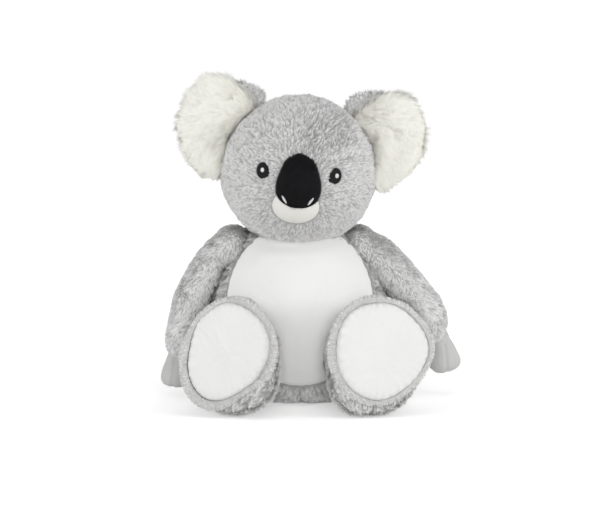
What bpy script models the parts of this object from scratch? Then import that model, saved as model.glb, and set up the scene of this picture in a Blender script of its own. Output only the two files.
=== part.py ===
"""Seated plush koala: stuffed body, head, ears, arms and legs, with sewn-on panels and an embroidered face.

Metres, +Z up. The koala faces -Y and its own left side is +X. The origin is on the floor under the seat.
"""

import math

import bmesh
import bpy
from mathutils import Matrix, Vector
from mathutils.bvhtree import BVHTree

# Clearances
SEAM_GAP = 0.0003
BALL_GAP = 0.0006
CUT_OVERRUN = 0.006
FLOOR_LIFT = 0.0005

# Torso
SHOULDER_HEIGHT = 0.143
TORSO_ABOVE_SHOULDER = 0.025
TORSO_HEIGHT = SHOULDER_HEIGHT + TORSO_ABOVE_SHOULDER
TORSO_WIDTH = 0.176
TORSO_DEPTH = 0.136
TORSO_SETTLE = 0.005
TORSO_BACK = 0.066
TORSO_SECTION_SHARES = (
    # height, width, depth, forward
    (0.00, 0.74, 0.74, 0.00),
    (0.11, 0.97, 0.97, 0.00),
    (0.36, 1.04, 1.06, 0.03),
    (0.62, 0.94, 0.96, 0.03),
    (0.84, 0.74, 0.78, 0.00),
    (1.00, 0.46, 0.52, -0.06),
)

# Belly panel, sewn into the front of the torso
BELLY_HALF_WIDTH = 0.069
BELLY_TOP_ABOVE_SHOULDER = 0.011
BELLY_BOTTOM_HEIGHT = 0.018
BELLY_TOP_CUT = 0.014
BELLY_HEIGHT = SHOULDER_HEIGHT + BELLY_TOP_ABOVE_SHOULDER - BELLY_BOTTOM_HEIGHT
BELLY_HALF_HEIGHT = (BELLY_HEIGHT + BELLY_TOP_CUT) / 2
BELLY_CENTRE_HEIGHT = BELLY_BOTTOM_HEIGHT + BELLY_HALF_HEIGHT
BELLY_TOP_ABOVE_CENTRE = BELLY_HEIGHT - BELLY_HALF_HEIGHT
BELLY_THICKNESS = 0.0024

# Base panel and the weight that it closes in
BASE_HALF_WIDTH = 0.056
BASE_HALF_DEPTH = 0.042
BASE_THICKNESS = 0.003
BASE_EDGE_RADIUS = 0.0008
BASE_BACK = 0.002
BAG_HALF_WIDTH = 0.042
BAG_HALF_DEPTH = 0.030
BAG_HEIGHT = 0.030
BAG_FLATNESS_SHARE = 0.7

# Head
NECK_TO_RIGHT = 0.001
NECK_FORWARD = 0.004
NECK_ABOVE_SHOULDER = 0.0725
NECK_PIVOT = Vector((-NECK_TO_RIGHT, -NECK_FORWARD, SHOULDER_HEIGHT + NECK_ABOVE_SHOULDER))
HEAD_TILT_DEG = 4.5
HEAD_WIDTH = 0.143
HEAD_DEPTH = 0.140
HEAD_ABOVE_PIVOT = 0.068
HEAD_BELOW_PIVOT = 0.0715
HEAD_SECTIONS = 6
HEAD_CAP_DEG = 77.5
NECK_SEAT_RADIUS = 0.0733
NECK_BALL_RADIUS = 0.034
NECK_BALL_DROP = 0.045
MUZZLE_DROP = 0.016
MUZZLE_REACH = 0.058
MUZZLE_BULGE = 0.005

# Nose, a padded egg
NOSE_HALF_WIDTH = 0.0203
NOSE_HALF_HEIGHT = 0.0252
NOSE_TAPER_SHARE = 0.16
NOSE_ACROSS = 0.0005
NOSE_DROP = 0.0098
NOSE_CROWN = 0.0085
NOSE_SEAT = 0.0026

# Chin, a padded crescent under the nose
CHIN_HALF_WIDTH = 0.0213
CHIN_HALF_HEIGHT = 0.0155
CHIN_ACROSS = -0.0006
CHIN_DROP = 0.0305
CHIN_CROWN = 0.0050
CHIN_SEAT = 0.0014

# Eyes, embroidered teardrops whose points turn in to the nose
EYE_HALF_WIDTH = 0.0053
EYE_HALF_HEIGHT = 0.0070
EYE_POINT_SHARE = 0.22
EYE_POINT_DEG = -28.0
EYE_SPREAD = 0.0328
EYE_DROP = 0.0006
EYE_CROWN = 0.0010
EYE_SEAT = 0.0010
GLINT_HALF_WIDTH = 0.0014
GLINT_HALF_HEIGHT = 0.0018
GLINT_CROWN = 0.0005
GLINT_SEAT = 0.0005

# Nostrils, satin stitches low on the nose
NOSTRIL_HALF_WIDTH = 0.0009
NOSTRIL_HALF_LENGTH = 0.0042
NOSTRIL_SPREAD = 0.0118
NOSTRIL_DROP = 0.0246
NOSTRIL_LEAN_DEG = 34.0
NOSTRIL_CROWN = 0.0006
NOSTRIL_SEAT = 0.0006

# Ears, dished discs sewn along the side of the head
EAR_OUT = 0.080
EAR_UP = 0.036
EAR_BACKWARD = 0.004
EAR_BACK_HALF_WIDTH = 0.0385
EAR_BACK_HALF_HEIGHT = 0.0465
EAR_BACK_INWARD = 0.004
EAR_BACK_THICKNESS = 0.007
EAR_CUP = 0.006
EAR_ROOT_GAP = 0.0006
LINING_HALF_WIDTH = 0.0385
LINING_HALF_HEIGHT = 0.0485
LINING_ROOT_GAP = 0.0020
EAR_FORWARD_FOLD_DEG = 20.0
LINING_THICKNESS = 0.011
LINING_EDGE = 0.0035

# Arms: each hangs from a ball at the shoulder
SHOULDER_OUT = 0.060
SHOULDER_TO_RIGHT = {"right": 0.003, "left": 0.002}
SHOULDER_BACK = 0.002
SHOULDER_BALL_RADIUS = 0.0215
ARM_HANG_DEG = {"right": 0.0, "left": 13.0}
ARM_WIDTH = 0.040
ARM_DEPTH = 0.050
ARM_REACH = 0.052
ARM_DROP = 0.091
ARM_SECTION_SHARES = (
    # outward, down, width, depth
    (-0.05, -0.06, 0.80, 0.74),
    (0.24, 0.08, 0.98, 0.92),
    (0.46, 0.26, 1.00, 1.04),
    (0.69, 0.50, 1.02, 1.10),
    (0.88, 0.74, 1.02, 1.06),
    (1.00, 1.00, 0.86, 0.84),
)

# Hands: smooth mittens set into the cuffs
HAND_WIDTH = 0.030
HAND_DEPTH = 0.022
HAND_LENGTH = 0.050
HAND_SET_IN = 0.009
HAND_LEAN_DEG = 4.0
HAND_SECTION_SHARES = (
    # along, width, depth
    (0.00, 0.62, 0.70),
    (0.30, 0.74, 0.86),
    (0.62, 1.08, 1.06),
    (0.86, 1.00, 0.98),
    (1.00, 0.62, 0.60),
)

# Legs: each turns on a ball at the hip, and the foot ends in a flat sole
HIP_OUT = 0.050
HIP_FORWARD = 0.040
HIP_HEIGHT = 0.046
HIP_BALL_RADIUS = 0.036
LEG_LENGTH = 0.080
LEG_SPLAY_DEG = {"right": 10.0, "left": 16.5}
SOLE_TURN_DEG = {"right": 8.0, "left": -6.0}
SOLE_PITCH_DEG = 6.0
SOLE_RISE = 0.013
FOOT_HALF_WIDTH = 0.0455
FOOT_HALF_HEIGHT = 0.0535
LEG_SECTION_SHARES = (
    # along, width, height, rise, turn
    (0.06, 0.66, 0.56, 0.00, 0.0),
    (0.34, 0.76, 0.78, 0.10, 0.2),
    (0.62, 0.83, 0.93, 0.40, 0.5),
    (0.84, 0.91, 1.05, 0.72, 0.8),
    (0.98, 0.95, 1.00, 0.92, 1.0),
    (1.00, 0.84, 0.84, 1.00, 1.0),
)

# Soles and the rolled rims round them
SOLE_HALF_WIDTH = 0.0378
SOLE_HALF_HEIGHT = 0.0435
SOLE_THICKNESS = 0.0024
SOLE_CROWN = 0.0022
RIM_RADIUS = 0.0036

# Faceting
BODY_LEVELS = 2
BODY_SIDES = 8
LIMB_LEVELS = 1
LIMB_SIDES = 10
HAND_SIDES = 8
BALL_SEGMENTS = 24
BALL_RINGS = 12
SEAT_SEGMENTS = 36
SEAT_RINGS = 20
PATCH_SEGMENTS = 32
EAR_SEGMENTS = 28
EAR_RINGS = 4
NORMAL_REACH = 0.002

SIDES = {"right": -1.0, "left": 1.0}
ACROSS = Vector((1, 0, 0))
BACKWARD = Vector((0, 1, 0))
UP = Vector((0, 0, 1))

COLOURS = {
    "grey plush": ((0.50, 0.50, 0.495), 0.95),
    "white panel": ((0.83, 0.83, 0.81), 0.85),
    "white plush": ((0.78, 0.78, 0.72), 0.95),
    "grey velour": ((0.53, 0.53, 0.51), 0.85),
    "cream velour": ((0.70, 0.70, 0.66), 0.85),
    "black velour": ((0.018, 0.018, 0.020), 0.8),
    "black thread": ((0.02, 0.02, 0.02), 0.5),
    "white thread": ((0.85, 0.85, 0.85), 0.5),
    "liner cloth": ((0.75, 0.75, 0.72), 0.9),
}


def clear_scene():
    for obj in list(bpy.data.objects):
        bpy.data.objects.remove(obj, do_unlink=True)


def new_collection(name):
    group = bpy.data.collections.new(name)
    bpy.context.scene.collection.children.link(group)
    return group


def make_material(name):
    colour, roughness = COLOURS[name]
    material = bpy.data.materials.new(name)
    material.use_nodes = True
    shader = material.node_tree.nodes["Principled BSDF"]
    shader.inputs["Base Color"].default_value = (*colour, 1)
    shader.inputs["Roughness"].default_value = roughness
    shader.inputs["Metallic"].default_value = 0
    return material


def add_object(name, bm, group, material=None, parent=None):
    """Turns a bmesh into an object with outward faces, in this group and under this parent."""
    bmesh.ops.recalc_face_normals(bm, faces=bm.faces)
    mesh = bpy.data.meshes.new(name)
    bm.to_mesh(mesh)
    bm.free()
    mesh.shade_smooth()
    obj = bpy.data.objects.new(name, mesh)
    group.objects.link(obj)
    obj.parent = parent
    if material:
        mesh.materials.append(material)
    if group is guides:
        obj.hide_render = True
        obj.display_type = "WIRE"
    return obj


def add_pivot(name, location, rotation=(0, 0, 0)):
    pivot = bpy.data.objects.new(name, None)
    koala.objects.link(pivot)
    pivot.location = location
    pivot.rotation_euler = rotation
    bpy.context.view_layer.update()
    return pivot


def ring_share(sides):
    """How far a subdivided ring of this many points shrinks towards its middle."""
    return (4 + 2 * math.cos(2 * math.pi / sides)) / 6


def soft_form(name, sections, sides, levels, material=None, parent=None, box=None):
    """A stuffed form: a coarse cage lofted through (centre, across, up) sections, then subdivided.

    With a box of (low, high) corners the finished form spans exactly that box.
    """
    bm = bmesh.new()
    rings = []
    for centre, across, up in sections:
        turns = [2 * math.pi * k / sides for k in range(sides)]
        points = [centre + (across * math.cos(t) + up * math.sin(t)) / ring_share(sides) for t in turns]
        rings.append([bm.verts.new(p) for p in points])
    for near, far in zip(rings, rings[1:]):
        for k in range(sides):
            after = (k + 1) % sides
            bm.faces.new((near[k], near[after], far[after], far[k]))
    bm.faces.new(rings[0])
    bm.faces.new(rings[-1])
    obj = add_object(name, bm, koala, material, parent)
    soften = obj.modifiers.new("stuffing", "SUBSURF")
    soften.levels = levels
    soften.render_levels = levels
    if box:
        fit_to_box(obj, *box)
    return obj


def fit_to_box(obj, low, high):
    points = [v.co for v in evaluated_mesh(obj).vertices]
    for axis in range(3):
        least = min(p[axis] for p in points)
        most = max(p[axis] for p in points)
        scale = (high[axis] - low[axis]) / (most - least)
        for vertex in obj.data.vertices:
            vertex.co[axis] = low[axis] + (vertex.co[axis] - least) * scale


def evaluated_mesh(obj):
    graph = bpy.context.evaluated_depsgraph_get()
    graph.update()
    return bpy.data.meshes.new_from_object(obj.evaluated_get(graph), depsgraph=graph)


def surface_of(obj):
    """The finished surface of an object, in its own frame, for finding points and normals on it."""
    bm = bmesh.new()
    bm.from_mesh(evaluated_mesh(obj))
    tree = BVHTree.FromBMesh(bm)
    bm.free()
    return tree


def grown_copy(form, name, distance):
    """A guide of the same form, with its surface moved outward by a distance."""
    guide = form.copy()
    guide.data = form.data.copy()
    guide.name = name
    guides.objects.link(guide)
    guide.hide_render = True
    guide.display_type = "WIRE"
    swell = guide.modifiers.new("clearance", "DISPLACE")
    swell.mid_level = 0
    swell.strength = distance
    return guide


def combine(obj, tool, operation="DIFFERENCE"):
    step = obj.modifiers.new(tool.name, "BOOLEAN")
    step.operation = operation
    step.object = tool
    step.solver = "EXACT"


def ball(name, radius, group, parent=None, centre=Vector(), stretch=None, fine=False):
    bm = bmesh.new()
    segments, rings = (SEAT_SEGMENTS, SEAT_RINGS) if fine else (BALL_SEGMENTS, BALL_RINGS)
    bmesh.ops.create_uvsphere(bm, u_segments=segments, v_segments=rings, radius=radius)
    if stretch:
        bmesh.ops.scale(bm, vec=stretch, verts=bm.verts)
    bmesh.ops.translate(bm, vec=centre, verts=bm.verts)
    return add_object(name, bm, group, parent=parent)


def block(name, low, high):
    """A box cutter between two corners."""
    bm = bmesh.new()
    bmesh.ops.create_cube(bm, size=1)
    bmesh.ops.scale(bm, vec=high - low, verts=bm.verts)
    bmesh.ops.translate(bm, vec=(low + high) / 2, verts=bm.verts)
    return add_object(name, bm, guides)


def oval(half_width, half_height, taper_share=0.0, top=None):
    """An outline as a function of the turn: an oval that narrows upward, flat above an optional height."""

    def outline(turn, grow=0.0):
        across = (half_width + grow) * math.cos(turn) * (1 - taper_share * math.sin(turn))
        up = (half_height + grow) * math.sin(turn)
        return across, up if top is None else min(up, top + grow)

    return outline


def teardrop(half_width, half_height, point_share, point_turn):
    """An oval drawn out to a point in one direction."""

    def outline(turn, grow=0.0):
        reach = 1 + point_share * max(0.0, math.cos(turn - point_turn)) ** 8
        return (half_width + grow) * math.cos(turn) * reach, (half_height + grow) * math.sin(turn) * reach

    return outline


def leaned(outline, lean):
    """The same outline turned in its plane."""

    def turned(turn, grow=0.0):
        across, up = outline(turn, grow)
        return across * math.cos(lean) - up * math.sin(lean), across * math.sin(lean) + up * math.cos(lean)

    return turned


def dome(share):
    """The crown of a pad over the share of the way out to its edge."""
    return math.sqrt(max(0.0, 1 - share**2))


class Patch:
    """A panel or pad sewn onto a form: where it lies, its outline, how far it sinks in and how far it swells."""

    def __init__(self, form, centre, outline, crown, seat, counts, reach, across=ACROSS, up=UP):
        self.surface = surface_of(form)
        self.centre = centre
        self.outline = outline
        self.crown = crown
        self.seat = seat
        self.segments, self.rings, self.seat_rings = counts
        self.across = across
        self.up = up
        self.inward = up.cross(across)
        self.reach = reach

    def under(self, a, b):
        """The point of the form under this place on the panel's plane."""
        start = self.centre + self.across * a + self.up * b - self.inward * self.reach
        return self.surface.ray_cast(start, self.inward)[0]

    def point(self, turn, share, grow=0.0):
        """A point of the form under the panel, and the form's slope there."""
        a, b = (reach * share for reach in self.outline(turn))
        step = NORMAL_REACH
        along = self.under(a + step, b) - self.under(a - step, b)
        above = self.under(a, b + step) - self.under(a, b - step)
        grown = (reach * share for reach in self.outline(turn, grow))
        return self.under(*grown), along.cross(above).normalized()

    def build(self, name, group, material=None, parent=None, grow=0.0, lift=0.0):
        """The closed pad. As a cutter it grows sideways and down, and rises out of the form by lift."""
        bm = bmesh.new()
        sheets = []
        for upper in (True, False):
            loops = []
            rings = self.rings if upper and not lift else self.seat_rings
            for ring in range(rings + 1):
                share = ring / rings
                loop = []
                for k in range(self.segments if ring else 1):
                    place, normal = self.point(2 * math.pi * k / self.segments, share, grow)
                    height = self.crown * dome(share) + lift if upper else -self.seat - grow
                    loop.append(bm.verts.new(place + normal * height))
                loops.append(loop)
            sheets.append(loops)
            for near, far in zip(loops, loops[1:]):
                for k in range(self.segments):
                    after = (k + 1) % self.segments
                    if len(near) == 1:
                        bm.faces.new((near[0], far[k], far[after]))
                    else:
                        bm.faces.new((near[k], far[k], far[after], near[after]))
        top, bottom = sheets[0][-1], sheets[1][-1]
        for k in range(self.segments):
            after = (k + 1) % self.segments
            bm.faces.new((top[k], bottom[k], bottom[after], top[after]))
        bmesh.ops.triangulate(bm, faces=bm.faces, quad_method="FIXED")
        return add_object(name, bm, group, material, parent)

    def cut_seat(self, *bodies, name, parent=None, lift=CUT_OVERRUN):
        cutter = self.build(name, guides, parent=parent, grow=SEAM_GAP, lift=lift)
        for body in bodies:
            combine(body, cutter)


def turned_down(turn_deg, pitch_deg):
    """Axes (across, up, forward) of a section that looks along -Y, then turns and pitches by these angles."""
    turn = Matrix.Rotation(math.radians(turn_deg), 3, "Z") @ Matrix.Rotation(math.radians(-pitch_deg), 3, "X")
    return turn @ ACROSS, turn @ UP, turn @ -BACKWARD


def make_torso():
    front = TORSO_BACK - TORSO_DEPTH
    middle = (TORSO_BACK + front) / 2
    sections = []
    for height, width, depth, forward in TORSO_SECTION_SHARES:
        centre = Vector((0, middle - forward * TORSO_DEPTH, height * TORSO_HEIGHT))
        sections.append((centre, ACROSS * width * TORSO_WIDTH / 2, BACKWARD * depth * TORSO_DEPTH / 2))
    low = Vector((-TORSO_WIDTH / 2, front, -TORSO_SETTLE))
    high = Vector((TORSO_WIDTH / 2, TORSO_BACK, TORSO_HEIGHT))
    body = soft_form("body", sections, BODY_SIDES, BODY_LEVELS, grey_plush, box=(low, high))
    plain = grown_copy(body, "torso_form", 0)
    cleared = grown_copy(body, "torso_clearance", SEAM_GAP)

    below = Vector((CUT_OVERRUN,) * 3)
    floor_cut = block("floor_cut", low - below, Vector((*(high + below).xy, FLOOR_LIFT)))
    combine(body, floor_cut)

    neck_seat = ball("neck_seat", NECK_SEAT_RADIUS, guides, centre=NECK_PIVOT)
    combine(body, neck_seat)
    neck_middle = NECK_PIVOT - UP * NECK_BALL_DROP
    combine(body, ball("neck_socket", NECK_BALL_RADIUS + SEAM_GAP, guides, centre=neck_middle, fine=True))
    combine(cleared, floor_cut)
    return body, plain, cleared, neck_seat


def oval_plate(name, grow, low, high, group, material=None):
    bm = bmesh.new()
    bmesh.ops.create_cone(bm, cap_ends=True, segments=SEAT_SEGMENTS, radius1=1, radius2=1, depth=high - low)
    bmesh.ops.scale(bm, vec=(BASE_HALF_WIDTH + grow, BASE_HALF_DEPTH + grow, 1), verts=bm.verts)
    bmesh.ops.translate(bm, vec=(0, BASE_BACK, (low + high) / 2), verts=bm.verts)
    return add_object(name, bm, group, material)


def make_base(body):
    """The base panel, and the pellet bag in its pocket above the panel."""
    panel = oval_plate("base_panel", 0, 0, BASE_THICKNESS, koala, liner_cloth)
    edge = panel.modifiers.new("edge", "BEVEL")
    edge.width = BASE_EDGE_RADIUS
    edge.segments = 2
    roof = BASE_THICKNESS + SEAM_GAP
    combine(body, oval_plate("base_seat", SEAM_GAP, -CUT_OVERRUN, roof, guides))

    centre = Vector((0, BASE_BACK, roof + BAG_HEIGHT * (1 - BAG_FLATNESS_SHARE)))
    crown = BAG_HEIGHT * BAG_FLATNESS_SHARE
    size = Vector((BAG_HALF_WIDTH, BAG_HALF_DEPTH, crown))
    bag = ball("pellet_bag", 1, koala, centre=centre, stretch=size)
    bag.data.materials.append(liner_cloth)
    reach = size + Vector((CUT_OVERRUN,) * 3)
    combine(bag, block("bag_floor", centre - reach, Vector((reach.x, centre.y + reach.y, roof))))
    combine(body, ball("bag_pocket", 1, guides, centre=centre, stretch=size + Vector((SEAM_GAP,) * 3)))


def make_belly(body, plain, neck_seat):
    outline = oval(BELLY_HALF_WIDTH, BELLY_HALF_HEIGHT, top=BELLY_TOP_ABOVE_CENTRE)
    centre = Vector((0, 0, BELLY_CENTRE_HEIGHT))
    patch = Patch(plain, centre, outline, 0, BELLY_THICKNESS, (PATCH_SEGMENTS, 4, 4), TORSO_DEPTH)
    belly = patch.build("belly_panel", koala, white_panel)
    patch.cut_seat(body, name="belly_seat")
    combine(belly, neck_seat)
    return belly


def make_head():
    tilt = math.radians(HEAD_TILT_DEG)
    pivot = add_pivot("neck_pivot", NECK_PIVOT, (0, tilt, 0))
    low = Vector((-HEAD_WIDTH / 2, -HEAD_DEPTH / 2, -HEAD_BELOW_PIVOT))
    high = Vector((HEAD_WIDTH / 2, HEAD_DEPTH / 2, HEAD_ABOVE_PIVOT))
    sections = []
    for k in range(HEAD_SECTIONS):
        slope = math.radians(HEAD_CAP_DEG) * (2 * k / (HEAD_SECTIONS - 1) - 1)
        height = UP * math.sin(slope) * HEAD_BELOW_PIVOT
        width = ACROSS * math.cos(slope) * HEAD_WIDTH / 2
        sections.append((height, width, BACKWARD * math.cos(slope) * HEAD_DEPTH / 2))
    head = soft_form("head", sections, BODY_SIDES, BODY_LEVELS, grey_plush, pivot, box=(low, high))
    muzzle = Vector((0, -HEAD_DEPTH / 2, -MUZZLE_DROP))
    for vertex in head.data.vertices:
        near = 1 - ((vertex.co - muzzle).length / MUZZLE_REACH) ** 2
        vertex.co -= BACKWARD * MUZZLE_BULGE * max(0.0, near)
    plain = grown_copy(head, "head_form", 0)
    cleared = grown_copy(head, "head_clearance", SEAM_GAP)
    neck_middle = NECK_PIVOT - UP * NECK_BALL_DROP
    combine(head, ball("neck_ball", NECK_BALL_RADIUS, guides, centre=neck_middle, fine=True), "UNION")
    return pivot, head, plain, cleared


def make_face(pivot, head, plain):
    nose_outline = oval(NOSE_HALF_WIDTH, NOSE_HALF_HEIGHT, NOSE_TAPER_SHARE)
    nose_centre = Vector((NOSE_ACROSS, 0, -NOSE_DROP))
    nose_patch = Patch(plain, nose_centre, nose_outline, NOSE_CROWN, NOSE_SEAT, (28, 5, 2), HEAD_DEPTH)
    nose = nose_patch.build("nose", koala, black_velour, pivot)
    nose_shape = nose_patch.build("nose_form", guides, parent=pivot)

    chin_outline = oval(CHIN_HALF_WIDTH, CHIN_HALF_HEIGHT)
    chin_centre = Vector((CHIN_ACROSS, 0, -CHIN_DROP))
    chin_patch = Patch(plain, chin_centre, chin_outline, CHIN_CROWN, CHIN_SEAT, (24, 4, 2), HEAD_DEPTH)
    chin = chin_patch.build("chin", koala, cream_velour, pivot)
    chin_patch.cut_seat(head, name="chin_seat", parent=pivot)
    nose_patch.cut_seat(head, chin, name="nose_seat", parent=pivot)

    for side, sign in SIDES.items():
        point = math.radians(EYE_POINT_DEG)
        outline = teardrop(EYE_HALF_WIDTH, EYE_HALF_HEIGHT, EYE_POINT_SHARE, math.pi - point if sign > 0 else point)
        centre = Vector((sign * EYE_SPREAD, 0, -EYE_DROP))
        eye_patch = Patch(plain, centre, outline, EYE_CROWN, EYE_SEAT, (20, 2, 1), HEAD_DEPTH)
        eye = eye_patch.build(f"eye_{side}", koala, black_thread, pivot)
        eye_patch.cut_seat(head, name=f"eye_seat_{side}", parent=pivot)
        spark = oval(GLINT_HALF_WIDTH, GLINT_HALF_HEIGHT)
        glint_patch = Patch(eye, centre, spark, GLINT_CROWN, GLINT_SEAT, (12, 1, 1), HEAD_DEPTH)
        glint_patch.build(f"eye_glint_{side}", koala, white_thread, pivot)
        glint_patch.cut_seat(eye, name=f"glint_seat_{side}", parent=pivot, lift=GLINT_CROWN * 2)

        slash = leaned(oval(NOSTRIL_HALF_WIDTH, NOSTRIL_HALF_LENGTH), sign * -math.radians(NOSTRIL_LEAN_DEG))
        place = Vector((NOSE_ACROSS + sign * NOSTRIL_SPREAD, 0, -NOSTRIL_DROP))
        slash_patch = Patch(nose_shape, place, slash, NOSTRIL_CROWN, NOSTRIL_SEAT, (14, 1, 1), HEAD_DEPTH)
        slash_patch.build(f"nostril_{side}", koala, white_thread, pivot)
        slash_patch.cut_seat(nose, name=f"nostril_seat_{side}", parent=pivot, lift=NOSTRIL_CROWN * 2)


def ear_rim(surface, centre, half_width, half_height, root_gap, turn):
    """How far the ear reaches in this direction: out to its oval, or in to the seam at the head."""
    out = Vector((math.cos(turn) * half_width, 0, math.sin(turn) * half_height))
    hit = surface.ray_cast(centre, out.normalized())[0]
    if hit is None:
        return out
    room = (hit - centre).length - root_gap
    return out * min(1.0, room / out.length)


def ear_disc(name, surface, centre, half_width, half_height, root_gap, front, back, rings, material, pivot):
    """A dished disc between its front and back profiles, each a depth for the share of the way out."""
    segments = EAR_SEGMENTS
    bm = bmesh.new()
    edge = []
    sheets = []
    reaches = [
        ear_rim(surface, centre, half_width, half_height, root_gap, 2 * math.pi * k / segments)
        for k in range(segments)
    ]
    for profile in (front, back):
        loops = [[bm.verts.new(centre + BACKWARD * profile(0, Vector()))]]
        for ring in range(1, rings + 1):
            if ring == rings and edge:
                loops.append(edge)
                continue
            share = math.sin(ring / rings * math.pi / 2)
            loop = [bm.verts.new(centre + r * share + BACKWARD * profile(share, r * share)) for r in reaches]
            if ring == rings:
                edge = loop
            loops.append(loop)
        sheets.append(loops)
        for near, far in zip(loops, loops[1:]):
            for k in range(segments):
                after = (k + 1) % segments
                if len(near) == 1:
                    bm.faces.new((near[0], far[k], far[after]))
                else:
                    bm.faces.new((near[k], far[k], far[after], near[after]))
    return add_object(name, bm, koala, material, pivot)


def make_ear(side, sign, neck, head_shape, head_clearance):
    """Both halves of an ear, cut back at the seam where the ear folds forward against the head."""
    surface = surface_of(head_shape)
    centre = Vector((sign * EAR_OUT, EAR_BACKWARD, EAR_UP))
    seam = surface.ray_cast(centre, Vector((-centre.x, 0, -centre.z)).normalized())[0]
    pivot = add_pivot(f"ear_pivot_{side}", seam)
    pivot.parent = neck

    def dish(offset):
        return -EAR_CUP * (offset.length / EAR_BACK_HALF_HEIGHT) ** 2

    def back_front(share, offset):
        return dish(offset) - EAR_BACK_THICKNESS / 2 * dome(share)

    def back_back(share, offset):
        return dish(offset) + EAR_BACK_THICKNESS / 2 * dome(share)

    def lining_back(share, offset):
        clear = back_front(min(1.0, offset.length / EAR_BACK_HALF_WIDTH), offset)
        return clear - SEAM_GAP if share < 1 else clear - SEAM_GAP - LINING_EDGE

    def lining_front(share, offset):
        return lining_back(0.5, offset) - LINING_EDGE - LINING_THICKNESS * dome(share)

    inward = Vector((-sign * EAR_BACK_INWARD, 0, 0))
    back = ear_disc(
        f"ear_back_{side}",
        surface,
        centre + inward,
        EAR_BACK_HALF_WIDTH,
        EAR_BACK_HALF_HEIGHT,
        EAR_ROOT_GAP,
        back_front,
        back_back,
        EAR_RINGS,
        grey_plush,
        neck,
    )
    lining = ear_disc(
        f"ear_lining_{side}",
        surface,
        centre,
        LINING_HALF_WIDTH,
        LINING_HALF_HEIGHT,
        LINING_ROOT_GAP,
        lining_front,
        lining_back,
        EAR_RINGS,
        white_plush,
        neck,
    )
    relief = grown_copy(head_shape, f"fold_relief_{side}", SEAM_GAP)
    fold = Matrix.Rotation(math.radians(EAR_FORWARD_FOLD_DEG), 4, Vector((-centre.z, 0, centre.x)))
    relief.matrix_local = Matrix.Translation(seam) @ fold @ Matrix.Translation(-seam)
    for half in (back, lining):
        combine(half, head_clearance)
        combine(half, relief)
    combine(lining, grown_copy(back, f"ear_clearance_{side}", SEAM_GAP))


def make_arm(side, sign, cleared, neck_seat):
    shoulder = Vector((sign * SHOULDER_OUT - SHOULDER_TO_RIGHT[side], SHOULDER_BACK, SHOULDER_HEIGHT))
    hang = math.radians(ARM_HANG_DEG[side])
    pivot = add_pivot(f"shoulder_pivot_{side}", shoulder, (0, -sign * hang, 0))
    path = [
        Vector((sign * outward * ARM_REACH, 0, -down * ARM_DROP)) for outward, down, _, _ in ARM_SECTION_SHARES
    ]
    sections = []
    for k, (_, _, width, depth) in enumerate(ARM_SECTION_SHARES):
        along = (path[min(k + 1, len(path) - 1)] - path[max(k - 1, 0)]).normalized()
        across = BACKWARD.cross(along)
        sections.append((path[k], across * width * ARM_WIDTH / 2, BACKWARD * depth * ARM_DEPTH / 2))
    arm = soft_form(f"arm_{side}", sections, LIMB_SIDES, LIMB_LEVELS, grey_plush, pivot)

    lean = math.radians(HAND_LEAN_DEG)
    along = Vector((sign * math.sin(lean), 0, -math.cos(lean)))
    across = BACKWARD.cross(along)
    root = path[-1] - along * HAND_SET_IN
    hand_sections = [
        (root + along * share * HAND_LENGTH, across * width * HAND_WIDTH / 2, BACKWARD * depth * HAND_DEPTH / 2)
        for share, width, depth in HAND_SECTION_SHARES
    ]
    hand = soft_form(f"hand_{side}", hand_sections, HAND_SIDES, LIMB_LEVELS, grey_velour, pivot)
    combine(arm, grown_copy(hand, f"cuff_{side}", SEAM_GAP))
    combine(arm, cleared)
    combine(arm, neck_seat)
    combine(arm, ball(f"shoulder_ball_{side}", SHOULDER_BALL_RADIUS, guides, pivot), "UNION")
    socket = ball(f"shoulder_socket_{side}", SHOULDER_BALL_RADIUS + BALL_GAP, guides, pivot)
    return socket


def leg_frames(side, sign):
    """Centre and axes of each section of the leg, in the frame of its hip."""
    frames = []
    splay = LEG_SPLAY_DEG[side]
    _, _, forward = turned_down(sign * splay, 0)
    for along, _, _, rise, turn in LEG_SECTION_SHARES:
        across, up, _ = turned_down(sign * (splay + SOLE_TURN_DEG[side] * turn), SOLE_PITCH_DEG * turn)
        frames.append((forward * along * LEG_LENGTH + UP * rise * SOLE_RISE, across, up))
    return frames


def rim_tube(name, centre, across, up, radius, parent, group, material=None):
    """The rolled band round the sole, as a closed tube along the sole's edge."""
    curve = bpy.data.curves.new(name, "CURVE")
    curve.dimensions = "3D"
    curve.bevel_depth = radius
    curve.bevel_resolution = 1
    curve.use_fill_caps = False
    spline = curve.splines.new("POLY")
    count = PATCH_SEGMENTS
    spline.points.add(count - 1)
    spline.use_cyclic_u = True
    outline = oval(SOLE_HALF_WIDTH, SOLE_HALF_HEIGHT)
    for k, point in enumerate(spline.points):
        a, b = outline(2 * math.pi * k / count, RIM_RADIUS + SEAM_GAP)
        point.co = (*(centre + across * a + up * b), 1)
    obj = bpy.data.objects.new(name, curve)
    group.objects.link(obj)
    obj.parent = parent
    tube = bmesh.new()
    tube.from_mesh(evaluated_mesh(obj))
    bpy.data.objects.remove(obj, do_unlink=True)
    return add_object(name, tube, group, material, parent)


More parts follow.
